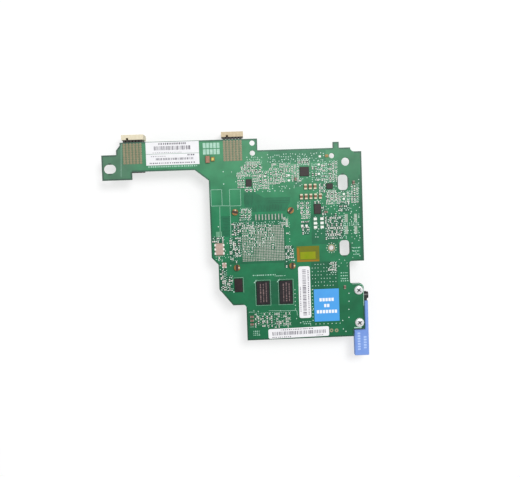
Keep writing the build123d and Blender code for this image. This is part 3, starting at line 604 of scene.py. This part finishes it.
# Painted shade: darker lacquer that stands for the shade between crowded parts
SHADE_AMONG_PARTS = solder_mask("solder_mask_with_painted_shade", (10, 78, 50), (22, 100, 70), (72, 144, 106))
TRACE = solder_mask("solder_mask_over_traces", (8, 74, 48), (16, 90, 62), (40, 108, 78))
PALE_BEIGE = surface("pale_connector_plastic", (238, 230, 204), (226, 214, 184), 0.55, bump=0.1)
BEIGE = surface("connector_plastic", (214, 198, 164), (200, 182, 148), 0.55, bump=0.1)
WAFER = surface("wafer_plastic", (40, 36, 34), (52, 46, 42), 0.5)
GOLD = surface("contact_metal", (166, 144, 112), (136, 114, 88), 0.45, 0.0, 1500.0)
PIN_RING = surface("pin_ring", (170, 162, 130), (142, 136, 106), 0.45, 0.0, 1500.0)
PIN_FIELD = surface("pin_field_lacquer", (106, 124, 94), (94, 112, 84), 0.45)
SUBSTRATE = surface("substrate", (40, 96, 62), (48, 106, 70), 0.5)
STEEL = surface("plated_steel", (246, 246, 246), (228, 230, 232), 0.3, 0.35, 1500.0)
PAD = surface("soft_pad", (150, 152, 158), (136, 138, 144), 0.8)
ALUMINIUM = surface("aluminium", (206, 208, 212), (190, 192, 198), 0.38, 0.8, 400.0, 0.15)
BRASS = surface("brass", (172, 128, 76), (128, 90, 50), 0.32, 0.6, 700.0)
BLACK = surface("black_plastic", (30, 30, 32), (40, 40, 42), 0.45, bump=0.1)
CHIP = surface("chip_black", (48, 45, 45), (68, 59, 58), 0.5, bump=0.15, specular=0.25)
MEMORY = surface("memory_black", (34, 32, 35), (48, 43, 46), 0.45, scale=500.0, bump=0.15, specular=0.2)
FLASH = surface("flash_black", (38, 32, 34), (58, 42, 44), 0.45, scale=300.0, bump=0.15, specular=0.2)
CAN = surface("can_metal", (198, 172, 160), (180, 154, 142), 0.42, 0.1, 700.0, specular=0.3)
CERAMIC = surface("ceramic_grey", (166, 156, 148), (126, 112, 106), 0.5, 0.0, 300.0)
TAN = surface("ceramic_tan", (144, 102, 66), (118, 80, 52), 0.5, 0.0, 300.0)
BROWN = surface("ceramic_brown", (138, 106, 94), (114, 82, 72), 0.5, 0.0, 300.0)
TIN = surface("solder_tin", (250, 250, 244), (226, 230, 222), 0.4, 0.0, 2500.0)
CREAM = surface("capacitor_ends", (232, 222, 196), (210, 198, 170), 0.45, 0.0, 1500.0)
DULL_TIN = surface("dull_tin", (194, 194, 184), (150, 152, 144), 0.5, 0.1, 700.0)
DULL_ENDS = surface("dull_ends", (166, 158, 144), (128, 120, 108), 0.5, 0.1, 700.0)
PALE_VIA = surface("pale_via", (214, 238, 226), (186, 216, 200), 0.5, scale=2500.0)
BARE_PAD = surface("bare_pad", (162, 176, 160), (142, 158, 142), 0.5, 0.1, 1500.0)
AMBER = surface("amber_plastic", (178, 146, 66), (146, 108, 48), 0.35)
RED = surface("red_moulding", (178, 130, 106), (154, 108, 86), 0.5)
PAPER = surface("paper_white", (246, 246, 248), (240, 240, 244), 0.6, scale=300.0)
INK = surface("label_ink", (84, 80, 92), (122, 118, 130), 0.6)
BLUE_LABEL = surface("label_blue", (72, 166, 240), (64, 158, 234), 0.4, scale=200.0)
FAINT = surface("faint_print", (104, 166, 130), (90, 152, 116), 0.5)
# Painted highlight on the light on the arm
ARM_GLINT_YELLOW = surface("painted_glint_yellow", (226, 214, 110), (206, 190, 88), 0.35)
SILK = surface("silkscreen", (186, 224, 206), (160, 206, 184), 0.6, scale=800.0)
WHITE_PRINT = surface("white_print", (250, 252, 255), (240, 246, 255), 0.55)
PALE_BLUE = surface("pale_print", (186, 210, 252), (162, 192, 248), 0.5)
LEVER_BLUE = surface("lever_blue", (126, 162, 232), (112, 148, 222), 0.45, scale=250.0, bump=0.08)
FERRITE = surface("ferrite", (74, 74, 78), (62, 62, 66), 0.6, bump=0.3)
BLACK_METAL = surface("black_metal", (24, 23, 23), (36, 33, 32), 0.4)
# Painted shadow in the screws' cross recesses
CROSS_SHADOW = surface("recess_shadow", (104, 107, 110), (136, 139, 140), 0.5)
# Dark of the tip slots: the real slot together with painted shade on the tip
TIP_SLOT_SHADE = surface("tip_slot_and_shade", (34, 26, 18), (56, 40, 26), 0.5)
CHIP_PRINT = surface("chip_print", (140, 112, 108), (98, 84, 88), 0.6, scale=400.0)
FILM = surface("film_yellow", (122, 122, 30), (106, 114, 34), 0.3, scale=260.0, specular=0.2)
LIME = surface("film_lime", (128, 154, 10), (146, 154, 14), 0.3, scale=260.0, specular=0.2)
ORANGE = surface("film_orange", (172, 112, 34), (152, 116, 38), 0.3, scale=260.0, specular=0.2)

# Materials of the frame's nodes
NODE_MATERIALS = {
    "circuit_board": MASK,
    "left_connector_housing": PALE_BEIGE,
    "right_connector_housing": BEIGE,
    "left_connector_wafers": WAFER,
    "right_connector_wafers": WAFER,
    "left_connector_pins": GOLD,
    "right_connector_pins": GOLD,
    "controller_chip": SUBSTRATE,
    "controller_lid": STEEL,
    "thermal_pad": PAD,
    "heat_sink": ALUMINIUM,
    "push_pins": BRASS,
    "push_pin_springs": STEEL,
    "mezzanine_connector": BLACK,
    "memory_chip_1": MEMORY,
    "memory_chip_2": MEMORY,
    "flash_chip": FLASH,
    "regulator_chip": CHIP,
    "small_regulator_chip": CHIP,
    "power_switch": CHIP,
    "logic_chip": CHIP,
    "oscillator": CAN,
    "crystal": CAN,
    "bulk_capacitors": TAN,
    "brown_capacitors": BROWN,
    "small_resistors": CHIP,
    "small_capacitors": CERAMIC,
    "status_light": AMBER,
    "arm_capacitor": RED,
    "arm_light": AMBER,
    "arm_upper_label": PAPER,
    "arm_lower_label": PAPER,
    "upright_label": PAPER,
    "bottom_label": PAPER,
    "press_label": BLUE_LABEL,
    "film_label": FILM,
    "power_inductors": FERRITE,
    "lever_bracket": BLACK,
    "bracket_screws": STEEL,
    "pivot_pin": BLACK_METAL,
    "lever_hub": BLACK_METAL,
    "release_lever": LEVER_BLUE,
}
for name, material in NODE_MATERIALS.items():
    nodes[name].data.materials.clear()
    nodes[name].data.materials.append(material)

# Ends of chip parts that aren't tinned, and kinds of fine part by slot: material and how often it comes
CAP_MATERIALS = {"brown_capacitors": DULL_ENDS, "bulk_capacitors": CREAM}
FINE_KINDS = {
    "ceramic_grey": (CERAMIC, 7),
    "ceramic_brown": (BROWN, 3),
    "chip_black": (CHIP, 2),
}


def around(centre, radius, share):
    """Place on a circle, by its share of a full turn."""
    angle = 2 * math.pi * share
    return centre[0] + radius * math.cos(angle), centre[1] + radius * math.sin(angle)


def rectangle(low, high):
    """Corners of an upright rectangle."""
    return [(low[0], low[1]), (high[0], low[1]), (high[0], high[1]), (low[0], high[1])]


def grid(start, pitch, counts):
    """Column, row and place of each point of a grid, column by column."""
    for column in range(counts[0]):
        for row in range(counts[1]):
            yield column, row, (start[0] + column * pitch[0], start[1] + row * pitch[1])


class Shapes:
    """Collects flat shapes and boxes into one mesh."""

    def __init__(self, z=0.0):
        self.z = z
        self.points = []
        self.faces = []

    def polygon(self, corners):
        """Flat shape at the present height."""
        start = len(self.points)
        self.points += [(x, y, self.z) for x, y in corners]
        self.faces.append(range(start, len(self.points)))

    def field(self, xs, ys):
        """Flat rectangle between two limits on each axis."""
        self.polygon(rectangle((xs[0], ys[0]), (xs[1], ys[1])))

    def bar(self, centre, width, height, angle=0.0):
        """Rectangle about its middle, turned by an angle in degrees."""
        turn = Matrix.Rotation(math.radians(angle), 2)
        half = Vector((width / 2, height / 2))
        corners = [turn @ Vector(corner) for corner in rectangle(-half, half)]
        self.polygon([(centre[0] + corner.x, centre[1] + corner.y) for corner in corners])

    def line(self, points, width):
        """Straight strokes through points."""
        for start, end in zip(points, points[1:]):
            along = Vector(end) - Vector(start)
            middle = (Vector(start) + Vector(end)) / 2
            self.bar(middle, along.length, width, math.degrees(math.atan2(along.y, along.x)))

    def outline(self, low, high, width):
        """Strokes round a rectangle."""
        corners = rectangle(low, high)
        self.line(corners + corners[:1], width)

    def disc(self, centre, radius, sides=10):
        """Flat disc."""
        self.polygon([around(centre, radius, side / sides) for side in range(sides)])

    def ring(self, centre, inner, outer, sides):
        """Flat ring."""
        for side in range(sides):
            start = side / sides
            end = (side + 1) / sides
            corners = ((inner, start), (outer, start), (outer, end), (inner, end))
            self.polygon([around(centre, radius, share) for radius, share in corners])

    def wall(self, start, count):
        """Faces between a ring of points and the next one."""
        for side in range(count):
            after = (side + 1) % count
            self.faces.append((start + side, start + after, start + count + after, start + count + side))

    def plate(self, corners, low_z, high_z):
        """Flat shape with a thickness."""
        start = len(self.points)
        count = len(corners)
        for z in (low_z, high_z):
            self.points += [(x, y, z) for x, y in corners]
        self.faces.append(range(start + count - 1, start - 1, -1))
        self.faces.append(range(start + count, start + 2 * count))
        self.wall(start, count)

    def box(self, low, high):
        """Box between two corners."""
        self.plate(rectangle(low, high), low[2], high[2])

    def lathe(self, centre, profile, sides=32):
        """Shape turned from a profile of radii and heights."""
        for ring in range(len(profile) - 1):
            self.wall(len(self.points) + ring * sides, sides)
        for radius, z in profile:
            for side in range(sides):
                self.points.append((*around(centre, radius, side / sides), z))

    def turn(self, centre, angle):
        """Turns everything so far about a place, by an angle in degrees."""
        spin = Matrix.Rotation(math.radians(angle), 2)
        middle = Vector(centre)
        for index, (x, y, z) in enumerate(self.points):
            place = middle + spin @ (Vector((x, y)) - middle)
            self.points[index] = (place.x, place.y, z)

    def piece(self, name, material, slot, body="card"):
        """Object from everything so far, on its body."""
        mesh = bpy.data.meshes.new(name)
        points = [Vector(point) * MM for point in self.points]
        mesh.from_pydata(points, [], [list(face) for face in self.faces])
        mesh.materials.append(material)
        made = bpy.data.objects.new(name, mesh)
        bpy.context.scene.collection.objects.link(made)
        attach(made, body)
        return made


def box_of(name):
    """Lowest and highest corner of a node, in millimetres."""
    return [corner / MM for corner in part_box(name)]


def middle_of(low, high):
    """Middle of a box, seen from above."""
    return (low + high).xy / 2


def solids_of(name):
    """Lowest and highest corner of each separate solid of a node, in millimetres, from the left."""
    mesh = bmesh.new()
    mesh.from_mesh(nodes[name].data)
    bmesh.ops.remove_doubles(mesh, verts=mesh.verts, dist=MERGE_DISTANCE * MM)
    left = set(mesh.verts)
    boxes = []
    while left:
        group = [left.pop()]
        for vertex in group:
            for edge in vertex.link_edges:
                other = edge.other_vert(vertex)
                if other in left:
                    left.discard(other)
                    group.append(other)
        places = [vertex.co / MM for vertex in group]
        low = Vector([min(values) for values in zip(*places)])
        high = Vector([max(values) for values in zip(*places)])
        boxes.append((low, high))
    mesh.free()
    return sorted(boxes, key=lambda box: (round(box[0].x, 2), round(box[0].y, 2)))


def end_caps(shapes, low, high, share):
    """Two caps over the ends of a chip part's long side, a hair larger than the part."""
    axis = 0 if high.x - low.x > high.y - low.y else 1
    depth = (high[axis] - low[axis]) * share
    for side in (0, 1):
        cap_low = low - CAP_SWELL
        cap_high = high + CAP_SWELL
        cap_low.z = low.z
        if side:
            cap_low[axis] = high[axis] - depth
        else:
            cap_high[axis] = low[axis] + depth
        shapes.box(cap_low, cap_high)


# Bright ends on the frame's chip parts
for name, share in CAP_SHARES.items():
    ends = Shapes()
    for low, high in solids_of(name):
        end_caps(ends, low, high, share)
    ends.piece(f"{name}_ends", CAP_MATERIALS.get(name, TIN), "plated_steel")

# Plated terminals at the sides of the metal-lidded parts
terminals = Shapes()
for name, (rows, size) in CAN_TERMINALS.items():
    low, high = box_of(name)
    half = size / 2
    top = high.z - TERMINAL_DROP
    for offset in rows:
        y = (low.y + high.y) / 2 + offset
        for x in (low.x + half, high.x - half):
            terminals.box((x - half, y - half, BOARD_TOP), (x + half, y + half, top))
terminals.piece("can_terminals", TIN, "plated_steel")

# Places in use: the holes, the lone pads and every solid that stands on the board
taken = [(Vector(low), Vector(high)) for low, high in HOLES]
for place in LONE_PADS:
    taken.append((Vector(place) - LONE_PAD_SIZE / 2, Vector(place) + LONE_PAD_SIZE / 2))
for name in NODE_MATERIALS:
    if name not in BOARD_LEVEL_NODES and box_of(name)[1].z > BOARD_TOP + SEAT_TOLERANCE:
        taken += solids_of(name)


def is_free(low, high):
    """True when a footprint keeps clear of every place in use."""
    for other_low, other_high in taken:
        if low.x < other_high.x + CLEARANCE and high.x > other_low.x - CLEARANCE:
            if low.y < other_high.y + CLEARANCE and high.y > other_low.y - CLEARANCE:
                return False
    return True


def dot(shapes, place, radius):
    """Small via where there is room for it, at a height of its own so that none coincide."""
    reach = Vector((radius, radius))
    if is_free(Vector(place) - reach, Vector(place) + reach):
        shapes.z = PRINT_Z + chance.uniform(0.0, DOT_SPREAD)
        shapes.disc(place, radius, DOT_SIDES)


class FineParts:
    """Collects fine chip parts of several kinds, and the vias between them."""

    def __init__(self, vias):
        self.bodies = {slot: Shapes() for slot in FINE_KINDS}
        self.weights = [weight for material, weight in FINE_KINDS.values()]
        self.ends = Shapes()
        self.placed = []
        self.vias = vias

    def part(self, place, size):
        """One part with bright ends, where there is room for it."""
        half = Vector((size.x / 2, size.y / 2, 0.0))
        base = Vector((*place, BOARD_TOP))
        low = base - half
        high = base + half + Vector((0.0, 0.0, size.z))
        if not is_free(low, high):
            return False
        slot = chance.choices(list(self.bodies), weights=self.weights)[0]
        self.bodies[slot].box(low, high)
        end_caps(self.ends, low, high, FINE_CAP_SHARE)
        self.placed.append((low, high))
        return True

    def lay(self, xs, ys, upright, fill, scale, patchy):
        """Ragged rows of parts, with vias between them and in the empty places of a dense field."""
        pitch = (FINE_PITCH if upright else FINE_PITCH.yx) * scale
        columns = round((xs[1] - xs[0]) / pitch.x)
        rows = round((ys[1] - ys[0]) / pitch.y)
        step = Vector(((xs[1] - xs[0]) / columns, (ys[1] - ys[0]) / rows))
        for column in range(columns):
            for row in range(rows):
                x = xs[0] + (column + 0.5) * step.x + chance.uniform(-JITTER, JITTER)
                y = ys[0] + (row + 0.5) * step.y + chance.uniform(-JITTER, JITTER)
                if patchy and value_noise.noise(Vector((x, y, 0.0)) * PATCH_SCALE) > PATCH_LIMIT:
                    continue
                on_rim = column in (0, columns - 1) or row in (0, rows - 1)
                turned = chance.random() < TURNED_SHARE
                size = (FINE_SIZE if upright != turned else FINE_SIZE.yxz) * scale
                wanted = chance.random() < fill * (RAGGED_SHARE if on_rim else 1.0)
                if not (wanted and self.part((x, y), size)) and fill > DENSE_FILL:
                    dot(self.vias, (x, y), EMPTY_PLACE_VIA * scale)
                dot(self.vias, (x + step.x / 2, y + step.y / 2), BETWEEN_VIA * scale)


# Fields of fine chip parts, with darker lacquer of painted shade under the dense ones
vias = Shapes(PRINT_Z)
parts = FineParts(vias)
shade_among_parts = Shapes(BOARD_TOP + SHADE_AMONG_PARTS_LIFT)
for xs, ys, upright, fill in FINE_FIELDS:
    if fill > DENSE_FILL:
        shade_among_parts.z += LAYER_STEP
        shade_among_parts.field(xs, ys)
    parts.lay(xs, ys, upright, fill, 1.0, True)
for xs, ys, upright, fill in CLOSE_FIELDS:
    parts.lay(xs, ys, upright, fill, CLOSE_SCALE, False)
shade_among_parts.piece("painted_shade_among_parts", SHADE_AMONG_PARTS, "solder_mask")
for slot, (material, weight) in FINE_KINDS.items():
    parts.bodies[slot].piece(f"fine_parts_{slot}", material, slot)
parts.ends.piece("fine_part_ends", TIN, "plated_steel")
taken += parts.placed

# Vias on loose grids, in lines, above the blue label and along the edge
for (left, right), (bottom, top), pitch, fill in VIA_PATCHES:
    for column in range(int((right - left) / pitch)):
        for row in range(int((top - bottom) / pitch)):
            x = left + (column + chance.uniform(*PLACE_SPREAD)) * pitch
            y = bottom + (row + chance.uniform(*PLACE_SPREAD)) * pitch
            if chance.random() < fill:
                dot(vias, (x, y), chance.uniform(*PATCH_VIA_RADII))
for start, end, pitch in VIA_LINES:
    along = Vector(end) - Vector(start)
    steps = int(along.length / pitch)
    for step in range(steps + 1):
        dot(vias, Vector(start) + along * step / steps, LINE_VIA_RADIUS)
for column, row, place in grid(*POWER_VIAS):
    if (column + 2 * row) % POWER_VIA_GAP:
        dot(vias, place, POWER_VIA_RADIUS)
for place in EDGE_VIAS:
    dot(vias, place, EDGE_VIA_RADIUS)
vias.piece("vias", PALE_VIA, "plated_steel")

# Ball-grid vias behind the controller, with a row of test pads above them
balls = Shapes(PRINT_Z)
for column, row, place in grid(*BALL_GRID):
    dot(balls, place, SMALL_BALL_RADIUS if column < SMALL_BALL_COLUMNS else BALL_RADIUS)
for column, row, place in grid(*TEST_PADS):
    balls.bar(place, *TEST_PAD_SIZE)
balls.piece("ball_grid_vias", DULL_TIN, "plated_steel")

# Bare solder pads, the dots round the plated hole and empty footprints
pads = Shapes(PRINT_Z)
for x in PAIRED_PAD_XS:
    for y in PAIRED_PAD_YS:
        pads.bar((x, y), *PAIRED_PAD_SIZE)
for place in LONE_PADS:
    pads.bar(place, *LONE_PAD_SIZE)
for number in range(PLATED_DOTS):
    place = around(PLATED_HOLE, PLATED_DOT_CIRCLE, number / PLATED_DOTS)
    pads.disc(place, PLATED_DOT_RADIUS)
pads.piece("bare_pads", TIN, "plated_steel")
footprints = Shapes(PRINT_Z)
for column, row, place in grid(*FOOTPRINTS):
    footprints.bar(place, *FOOTPRINT_SIZE)
footprints.piece("empty_footprints", BARE_PAD, "plated_steel")

# Rings at the contact tails, the gold spots and the plated hole, and lacquer under the tails
rings = Shapes(PRINT_Z)
pin_fields = Shapes(BOARD_TOP + POUR_LIFT)
for side in ("left", "right"):
    low, high = box_of(f"{side}_connector_pins")
    width, height = (high - low).xy
    pin_fields.bar(middle_of(low, high), width + 2 * PIN_FIELD_MARGIN, height + 2 * PIN_FIELD_MARGIN)
    for tail_low, tail_high in solids_of(f"{side}_connector_pins"):
        rings.ring(middle_of(tail_low, tail_high), *TAIL_RING)
for place in GOLD_SPOTS:
    rings.ring(place, *GOLD_SPOT_RING)
rings.ring(PLATED_HOLE, *PLATED_RING)
rings.piece("copper_rings", PIN_RING, "contact_metal")
pin_fields.piece("pin_fields", PIN_FIELD, "solder_mask")

# Slot in each push pin's tip, widened and darkened with painted shade, and a painted glint beside it
tip_slots_and_shade = Shapes()
glints = Shapes()
for (low, high), (slot_turn, glint_turn) in zip(solids_of("push_pins"), TIP_TURNS):
    middle = middle_of(low, high)
    tip_slots_and_shade.z = high.z + PRINT_LIFT
    tip_slots_and_shade.bar(middle, *TIP_SLOT_SIZE, slot_turn)
    glints.z = high.z + PRINT_LIFT
    glints.disc(around(middle, GLINT_REACH, glint_turn / 360), GLINT_RADIUS)
tip_slots_and_shade.piece("push_pin_slots_and_shade", TIP_SLOT_SHADE, "brass")
glints.piece("push_pin_glints", CREAM, "brass")

# Darker lacquer over inner copper
pours = Shapes(BOARD_TOP + POUR_LIFT)
for xs, ys in POURS:
    pours.z += LAYER_STEP
    pours.field(xs, ys)
pours.polygon(TRACE_FIELD)
pours.piece("copper_pours", POUR, "solder_mask")

# Bundles of traces with ragged ends
traces = Shapes(BOARD_TOP + TRACE_LIFT)
for xs, ys, pitch, upright in TRACE_BUNDLES:
    across, along = (xs, ys) if upright else (ys, xs)
    for number in range(int((across[1] - across[0]) / pitch)):
        place = across[0] + number * pitch
        start = along[0] + chance.uniform(0.0, TRACE_RAGGED_END)
        end = along[1] - chance.uniform(0.0, TRACE_RAGGED_END)
        ends = ((place, start), (place, end)) if upright else ((start, place), (end, place))
        traces.line(ends, TRACE_WIDTH)
traces.piece("trace_bundles", TRACE, "solder_mask")

# Margin of duller lacquer inside the board's longer edges
margin = Shapes(BOARD_TOP + POUR_LIFT + LAYER_STEP / 2)
board = nodes["circuit_board"].data
for face in board.polygons:
    if abs(face.normal.z) > UPRIGHT_SLOPE:
        continue
    corners = [board.vertices[index].co / MM for index in face.vertices]
    rim = [point for point in corners if point.z > BOARD_TOP - RIM_TOLERANCE]
    if len(rim) == 2 and (rim[1] - rim[0]).length > SHORTEST_EDGE:
        inward = face.normal * -MARGIN_WIDTH
        margin.z += LAYER_STEP
        margin.polygon([point.xy for point in (rim[0], rim[1], rim[1] + inward, rim[0] + inward)])
margin.piece("edge_margin", MARGIN, "solder_mask")


def marks(shapes, left, right, y, height):
    """Row of short marks of uneven width."""
    x = left
    while x < right:
        width = chance.uniform(*MARK_WIDTHS)
        shapes.bar((x + width / 2, y), width, height)
        x += width + chance.uniform(*MARK_GAPS)


# Silkscreen frames, lines, blocks and rows of short marks
legend = Shapes(PRINT_Z)
for low, high in LEGEND_FRAMES:
    legend.outline(low, high, LINE)
for width, points in LEGEND_LINES:
    legend.line(points, width)
for column, row, place in grid(*LEGEND_BLOCKS):
    legend.bar(place, *LEGEND_BLOCK_SIZE)
for name in MEMORY_CHIPS:
    low, high = box_of(name)
    legend.outline(low.xy - MEMORY_FRAME_GAP, high.xy + MEMORY_FRAME_GAP, THIN_LINE)
    legend.line([(low.x + x, high.y + y) for x, y in MEMORY_TICK], MEMORY_TICK_WIDTH)
legend.disc(FLASH_DOT, FLASH_DOT_RADIUS)
low, high = box_of("flash_chip")
right = high.x + FLASH_LINE_GAP
top = high.y + FLASH_LINE_GAP
points = ((low.x - FLASH_LINE_START, top), (right, top), (right, low.y - FLASH_LINE_GAP))
legend.line(points, THIN_LINE)
for left, right, height, ys in MARK_ROWS:
    for y in ys:
        marks(legend, left, right, y, height)
legend.piece("silkscreen", SILK, "paper_white")

# Faint square above the oscillator
faint = Shapes(PRINT_Z)
faint.bar(FAINT_SQUARE, *FAINT_SQUARE_SIZE)
faint.piece("faint_square", FAINT, "paper_white")

# Painted glint, a bright disc, on the light on the arm
low, high = box_of("arm_light")
lens = Shapes(high.z + PRINT_LIFT)
lens.disc(middle_of(low, high), ARM_GLINT_RADIUS)
lens.piece("arm_light_glint", ARM_GLINT_YELLOW, "amber_plastic")

# Paper labels with rounded corners, each standing for its node
for name, (size, angle, radius) in ROUNDED_LABELS.items():
    centre = middle_of(*box_of(name))
    corners = []
    for quarter, (side_x, side_y) in enumerate(((1, 1), (-1, 1), (-1, -1), (1, -1))):
        arc_x = centre.x + side_x * (size[0] / 2 - radius)
        arc_y = centre.y + side_y * (size[1] / 2 - radius)
        for step in range(CORNER_STEPS + 1):
            share = (quarter + step / CORNER_STEPS) / 4
            corners.append(around((arc_x, arc_y), radius, share))
    paper = Shapes()
    paper.plate(corners, BOARD_TOP, BOARD_TOP + PAPER_THICKNESS)
    paper.turn(centre, angle)
    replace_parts(paper.piece(f"{name}_paper", PAPER, "paper_white"), name)


def bar_code(shapes, left, right, y, height):
    """Upright bars of uneven width."""
    x = left
    while x < right:
        width = chance.uniform(*CODE_WIDTHS)
        shapes.bar((x, y), width, height)
        x += width + chance.uniform(*CODE_GAPS)


# Ink on the paper labels, turned with each
for name, (angle, mark_rows, code) in LABEL_PRINTS.items():
    x, y = middle_of(*box_of(f"{name}_label"))
    ink = Shapes(PAPER_TOP)
    for left, right, row_y, height in mark_rows:
        marks(ink, x + left, x + right, y + row_y, height)
    left, right, row_y, height = code
    bar_code(ink, x + left, x + right, y + row_y, height)
    ink.turn((x, y), angle)
    ink.piece(f"{name}_print", INK, "paper_white")

# Rows of white blocks on the blue label
x, y = middle_of(*box_of("press_label"))
blocks = Shapes(PAPER_TOP)
for row_y, count in PRESS_ROWS:
    for number in range(count):
        offset = (number - (count - 1) / 2) * PRESS_BLOCK_PITCH
        blocks.bar((x + offset, y + row_y), *PRESS_BLOCK_SIZE)
blocks.piece("press_label_blocks", WHITE_PRINT, "paper_white")

# Lime and orange fields of the film label
lime = Shapes(PAPER_TOP)
lime.field(LIME_XS, LIME_YS)
lime.piece("film_lime_field", LIME, "film_yellow")
orange = Shapes(PAPER_TOP)
orange.polygon(ORANGE_LEFT)
orange.field(ORANGE_BOTTOM_XS, ORANGE_BOTTOM_YS)
orange.piece("film_orange_edge", ORANGE, "film_yellow")

# Print on the memory chips, in columns along the chip
chip_print = Shapes()
for name in MEMORY_CHIPS:
    low, high = box_of(name)
    chip_print.z = high.z + PRINT_LIFT
    for share in CHIP_COLUMNS:
        x = low.x + share * (high.x - low.x)
        y = low.y + CHIP_PRINT_BOTTOM
        while y < high.y - CHIP_PRINT_TOP:
            length = chance.uniform(*CHIP_PRINT_LENGTHS)
            chip_print.bar((x, y + length / 2), chance.uniform(*CHIP_PRINT_WIDTHS), length)
            y += length + chance.uniform(*CHIP_PRINT_GAPS)
chip_print.piece("chip_print", CHIP_PRINT, "chip_black")

# Pan-head screws, which stand for the plain ones, with cross recesses drawn as painted shadow
screws = Shapes()
cross_shadows = Shapes(BOARD_TOP + HEAD_HEIGHT + PRINT_LIFT)
head = [(radius, BOARD_TOP + height) for radius, height in HEAD_PROFILE]
for (low, high), angle in zip(solids_of("bracket_screws"), CROSS_TURNS):
    middle = middle_of(low, high)
    screws.lathe(middle, [(0.0, low.z), (SCREW_RADIUS, low.z), *head])
    for turn in (0.0, 90.0):
        cross_shadows.bar(middle, *CROSS_SIZE, angle + turn)
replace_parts(screws.piece("pan_head_screws", STEEL, "plated_steel"), "bracket_screws")
cross_shadows.piece("screw_recess_shadows", CROSS_SHADOW, "plated_steel")

# Contact strips on the tongue of the mezzanine connector
strips = Shapes()
low, high = box_of("mezzanine_connector")
half = Vector(STRIP_SIZE) / 2
bottom, top = [low.z + height for height in STRIP_HEIGHTS]
start = ((low.x + high.x - STRIP_PITCH[0]) / 2, low.y + STRIP_INSET)
for column, row, place in grid(start, STRIP_PITCH, STRIP_COUNTS):
    middle = Vector(place)
    strips.box((*(middle - half), bottom), (*(middle + half), top))
strips.piece("mezzanine_contact_strips", GOLD, "contact_metal")

# Columns of pale blocks on the lever's handle
blocks = Shapes(box_of("release_lever")[1].z + PRINT_LIFT)
for start, count in LEVER_COLUMNS:
    for column, row, place in grid(start, LEVER_BLOCK_PITCH, (1, count)):
        blocks.bar(place, *LEVER_BLOCK_SIZE)
blocks.piece("lever_blocks", PALE_BLUE, "lever_blue", "lever")


def floor_white():
    """Pale matt material that also glows for the camera, so that its shadow is faint."""
    material, tree, shader = blank_material("floor_white")
    tint = spread(tree, noise(tree, FLOOR_SCALE))
    colour = blend(tree, tint, *[srgb(*colour) for colour in FLOOR_COLOURS])
    tree.links.new(colour, shader.inputs["Base Color"])
    shader.inputs["Roughness"].default_value = FLOOR_ROUGHNESS
    glow = tree.nodes.new("ShaderNodeEmission")
    glow.inputs["Strength"].default_value = GLOW_STRENGTH
    path = tree.nodes.new("ShaderNodeLightPath")
    amount = tree.nodes.new("ShaderNodeMath")
    amount.operation = "MULTIPLY"
    amount.inputs[1].default_value = FLOOR_GLOW
    shown = tree.nodes.new("ShaderNodeMixShader")
    tree.links.new(path.outputs["Is Camera Ray"], amount.inputs[0])
    tree.links.new(amount.outputs["Value"], shown.inputs["Fac"])
    tree.links.new(shader.outputs["BSDF"], shown.inputs[1])
    tree.links.new(glow.outputs["Emission"], shown.inputs[2])
    tree.links.new(shown.outputs["Shader"], tree.nodes["Material Output"].inputs["Surface"])
    return material


# Floor under the card
rest_height = size_before[0][2]
bpy.ops.mesh.primitive_plane_add(size=FLOOR_SIZE * MM, location=(0, 0, rest_height))
floor = bpy.context.active_object
floor.name = "floor"
floor.data.materials.append(floor_white())

# Pale surroundings and one square soft light
world = bpy.data.worlds.new("studio")
bpy.context.scene.world = world
world.use_nodes = True
background = world.node_tree.nodes["Background"]
background.inputs["Color"].default_value = (1.0, 1.0, 1.0, 1.0)
background.inputs["Strength"].default_value = WORLD_STRENGTH
key = bpy.data.lights.new("key", "AREA")
key.size = KEY_SIZE * MM
key.energy = KEY_POWER
lamp = bpy.data.objects.new("key", key)
lamp.location = KEY_PLACE * MM
lamp.rotation_euler = (KEY_TARGET - KEY_PLACE).to_track_quat("-Z", "Y").to_euler()
bpy.context.scene.collection.objects.link(lamp)

# Camera at the photograph's place
optics = bpy.data.cameras.new("camera")
optics.sensor_width = SENSOR
optics.lens = SENSOR * FOCAL_PIXELS / IMAGE_WIDTH
optics.clip_start = CLIP_START * MM
tilt = Matrix.Identity(3)
for axis, angle in CAMERA_TURNS:
    tilt = tilt @ Matrix.Rotation(angle, 3, axis)
view = tilt.transposed()
stand = view @ Vector(CAMERA_PLACE) + Vector((0.0, 0.0, BOARD_TOP))
camera = bpy.data.objects.new("camera", optics)
camera.matrix_world = Matrix.Translation(stand * MM) @ view.to_4x4()
bpy.context.scene.collection.objects.link(camera)
bpy.context.scene.camera = camera

bpy.context.scene.view_settings.view_transform = "Standard"
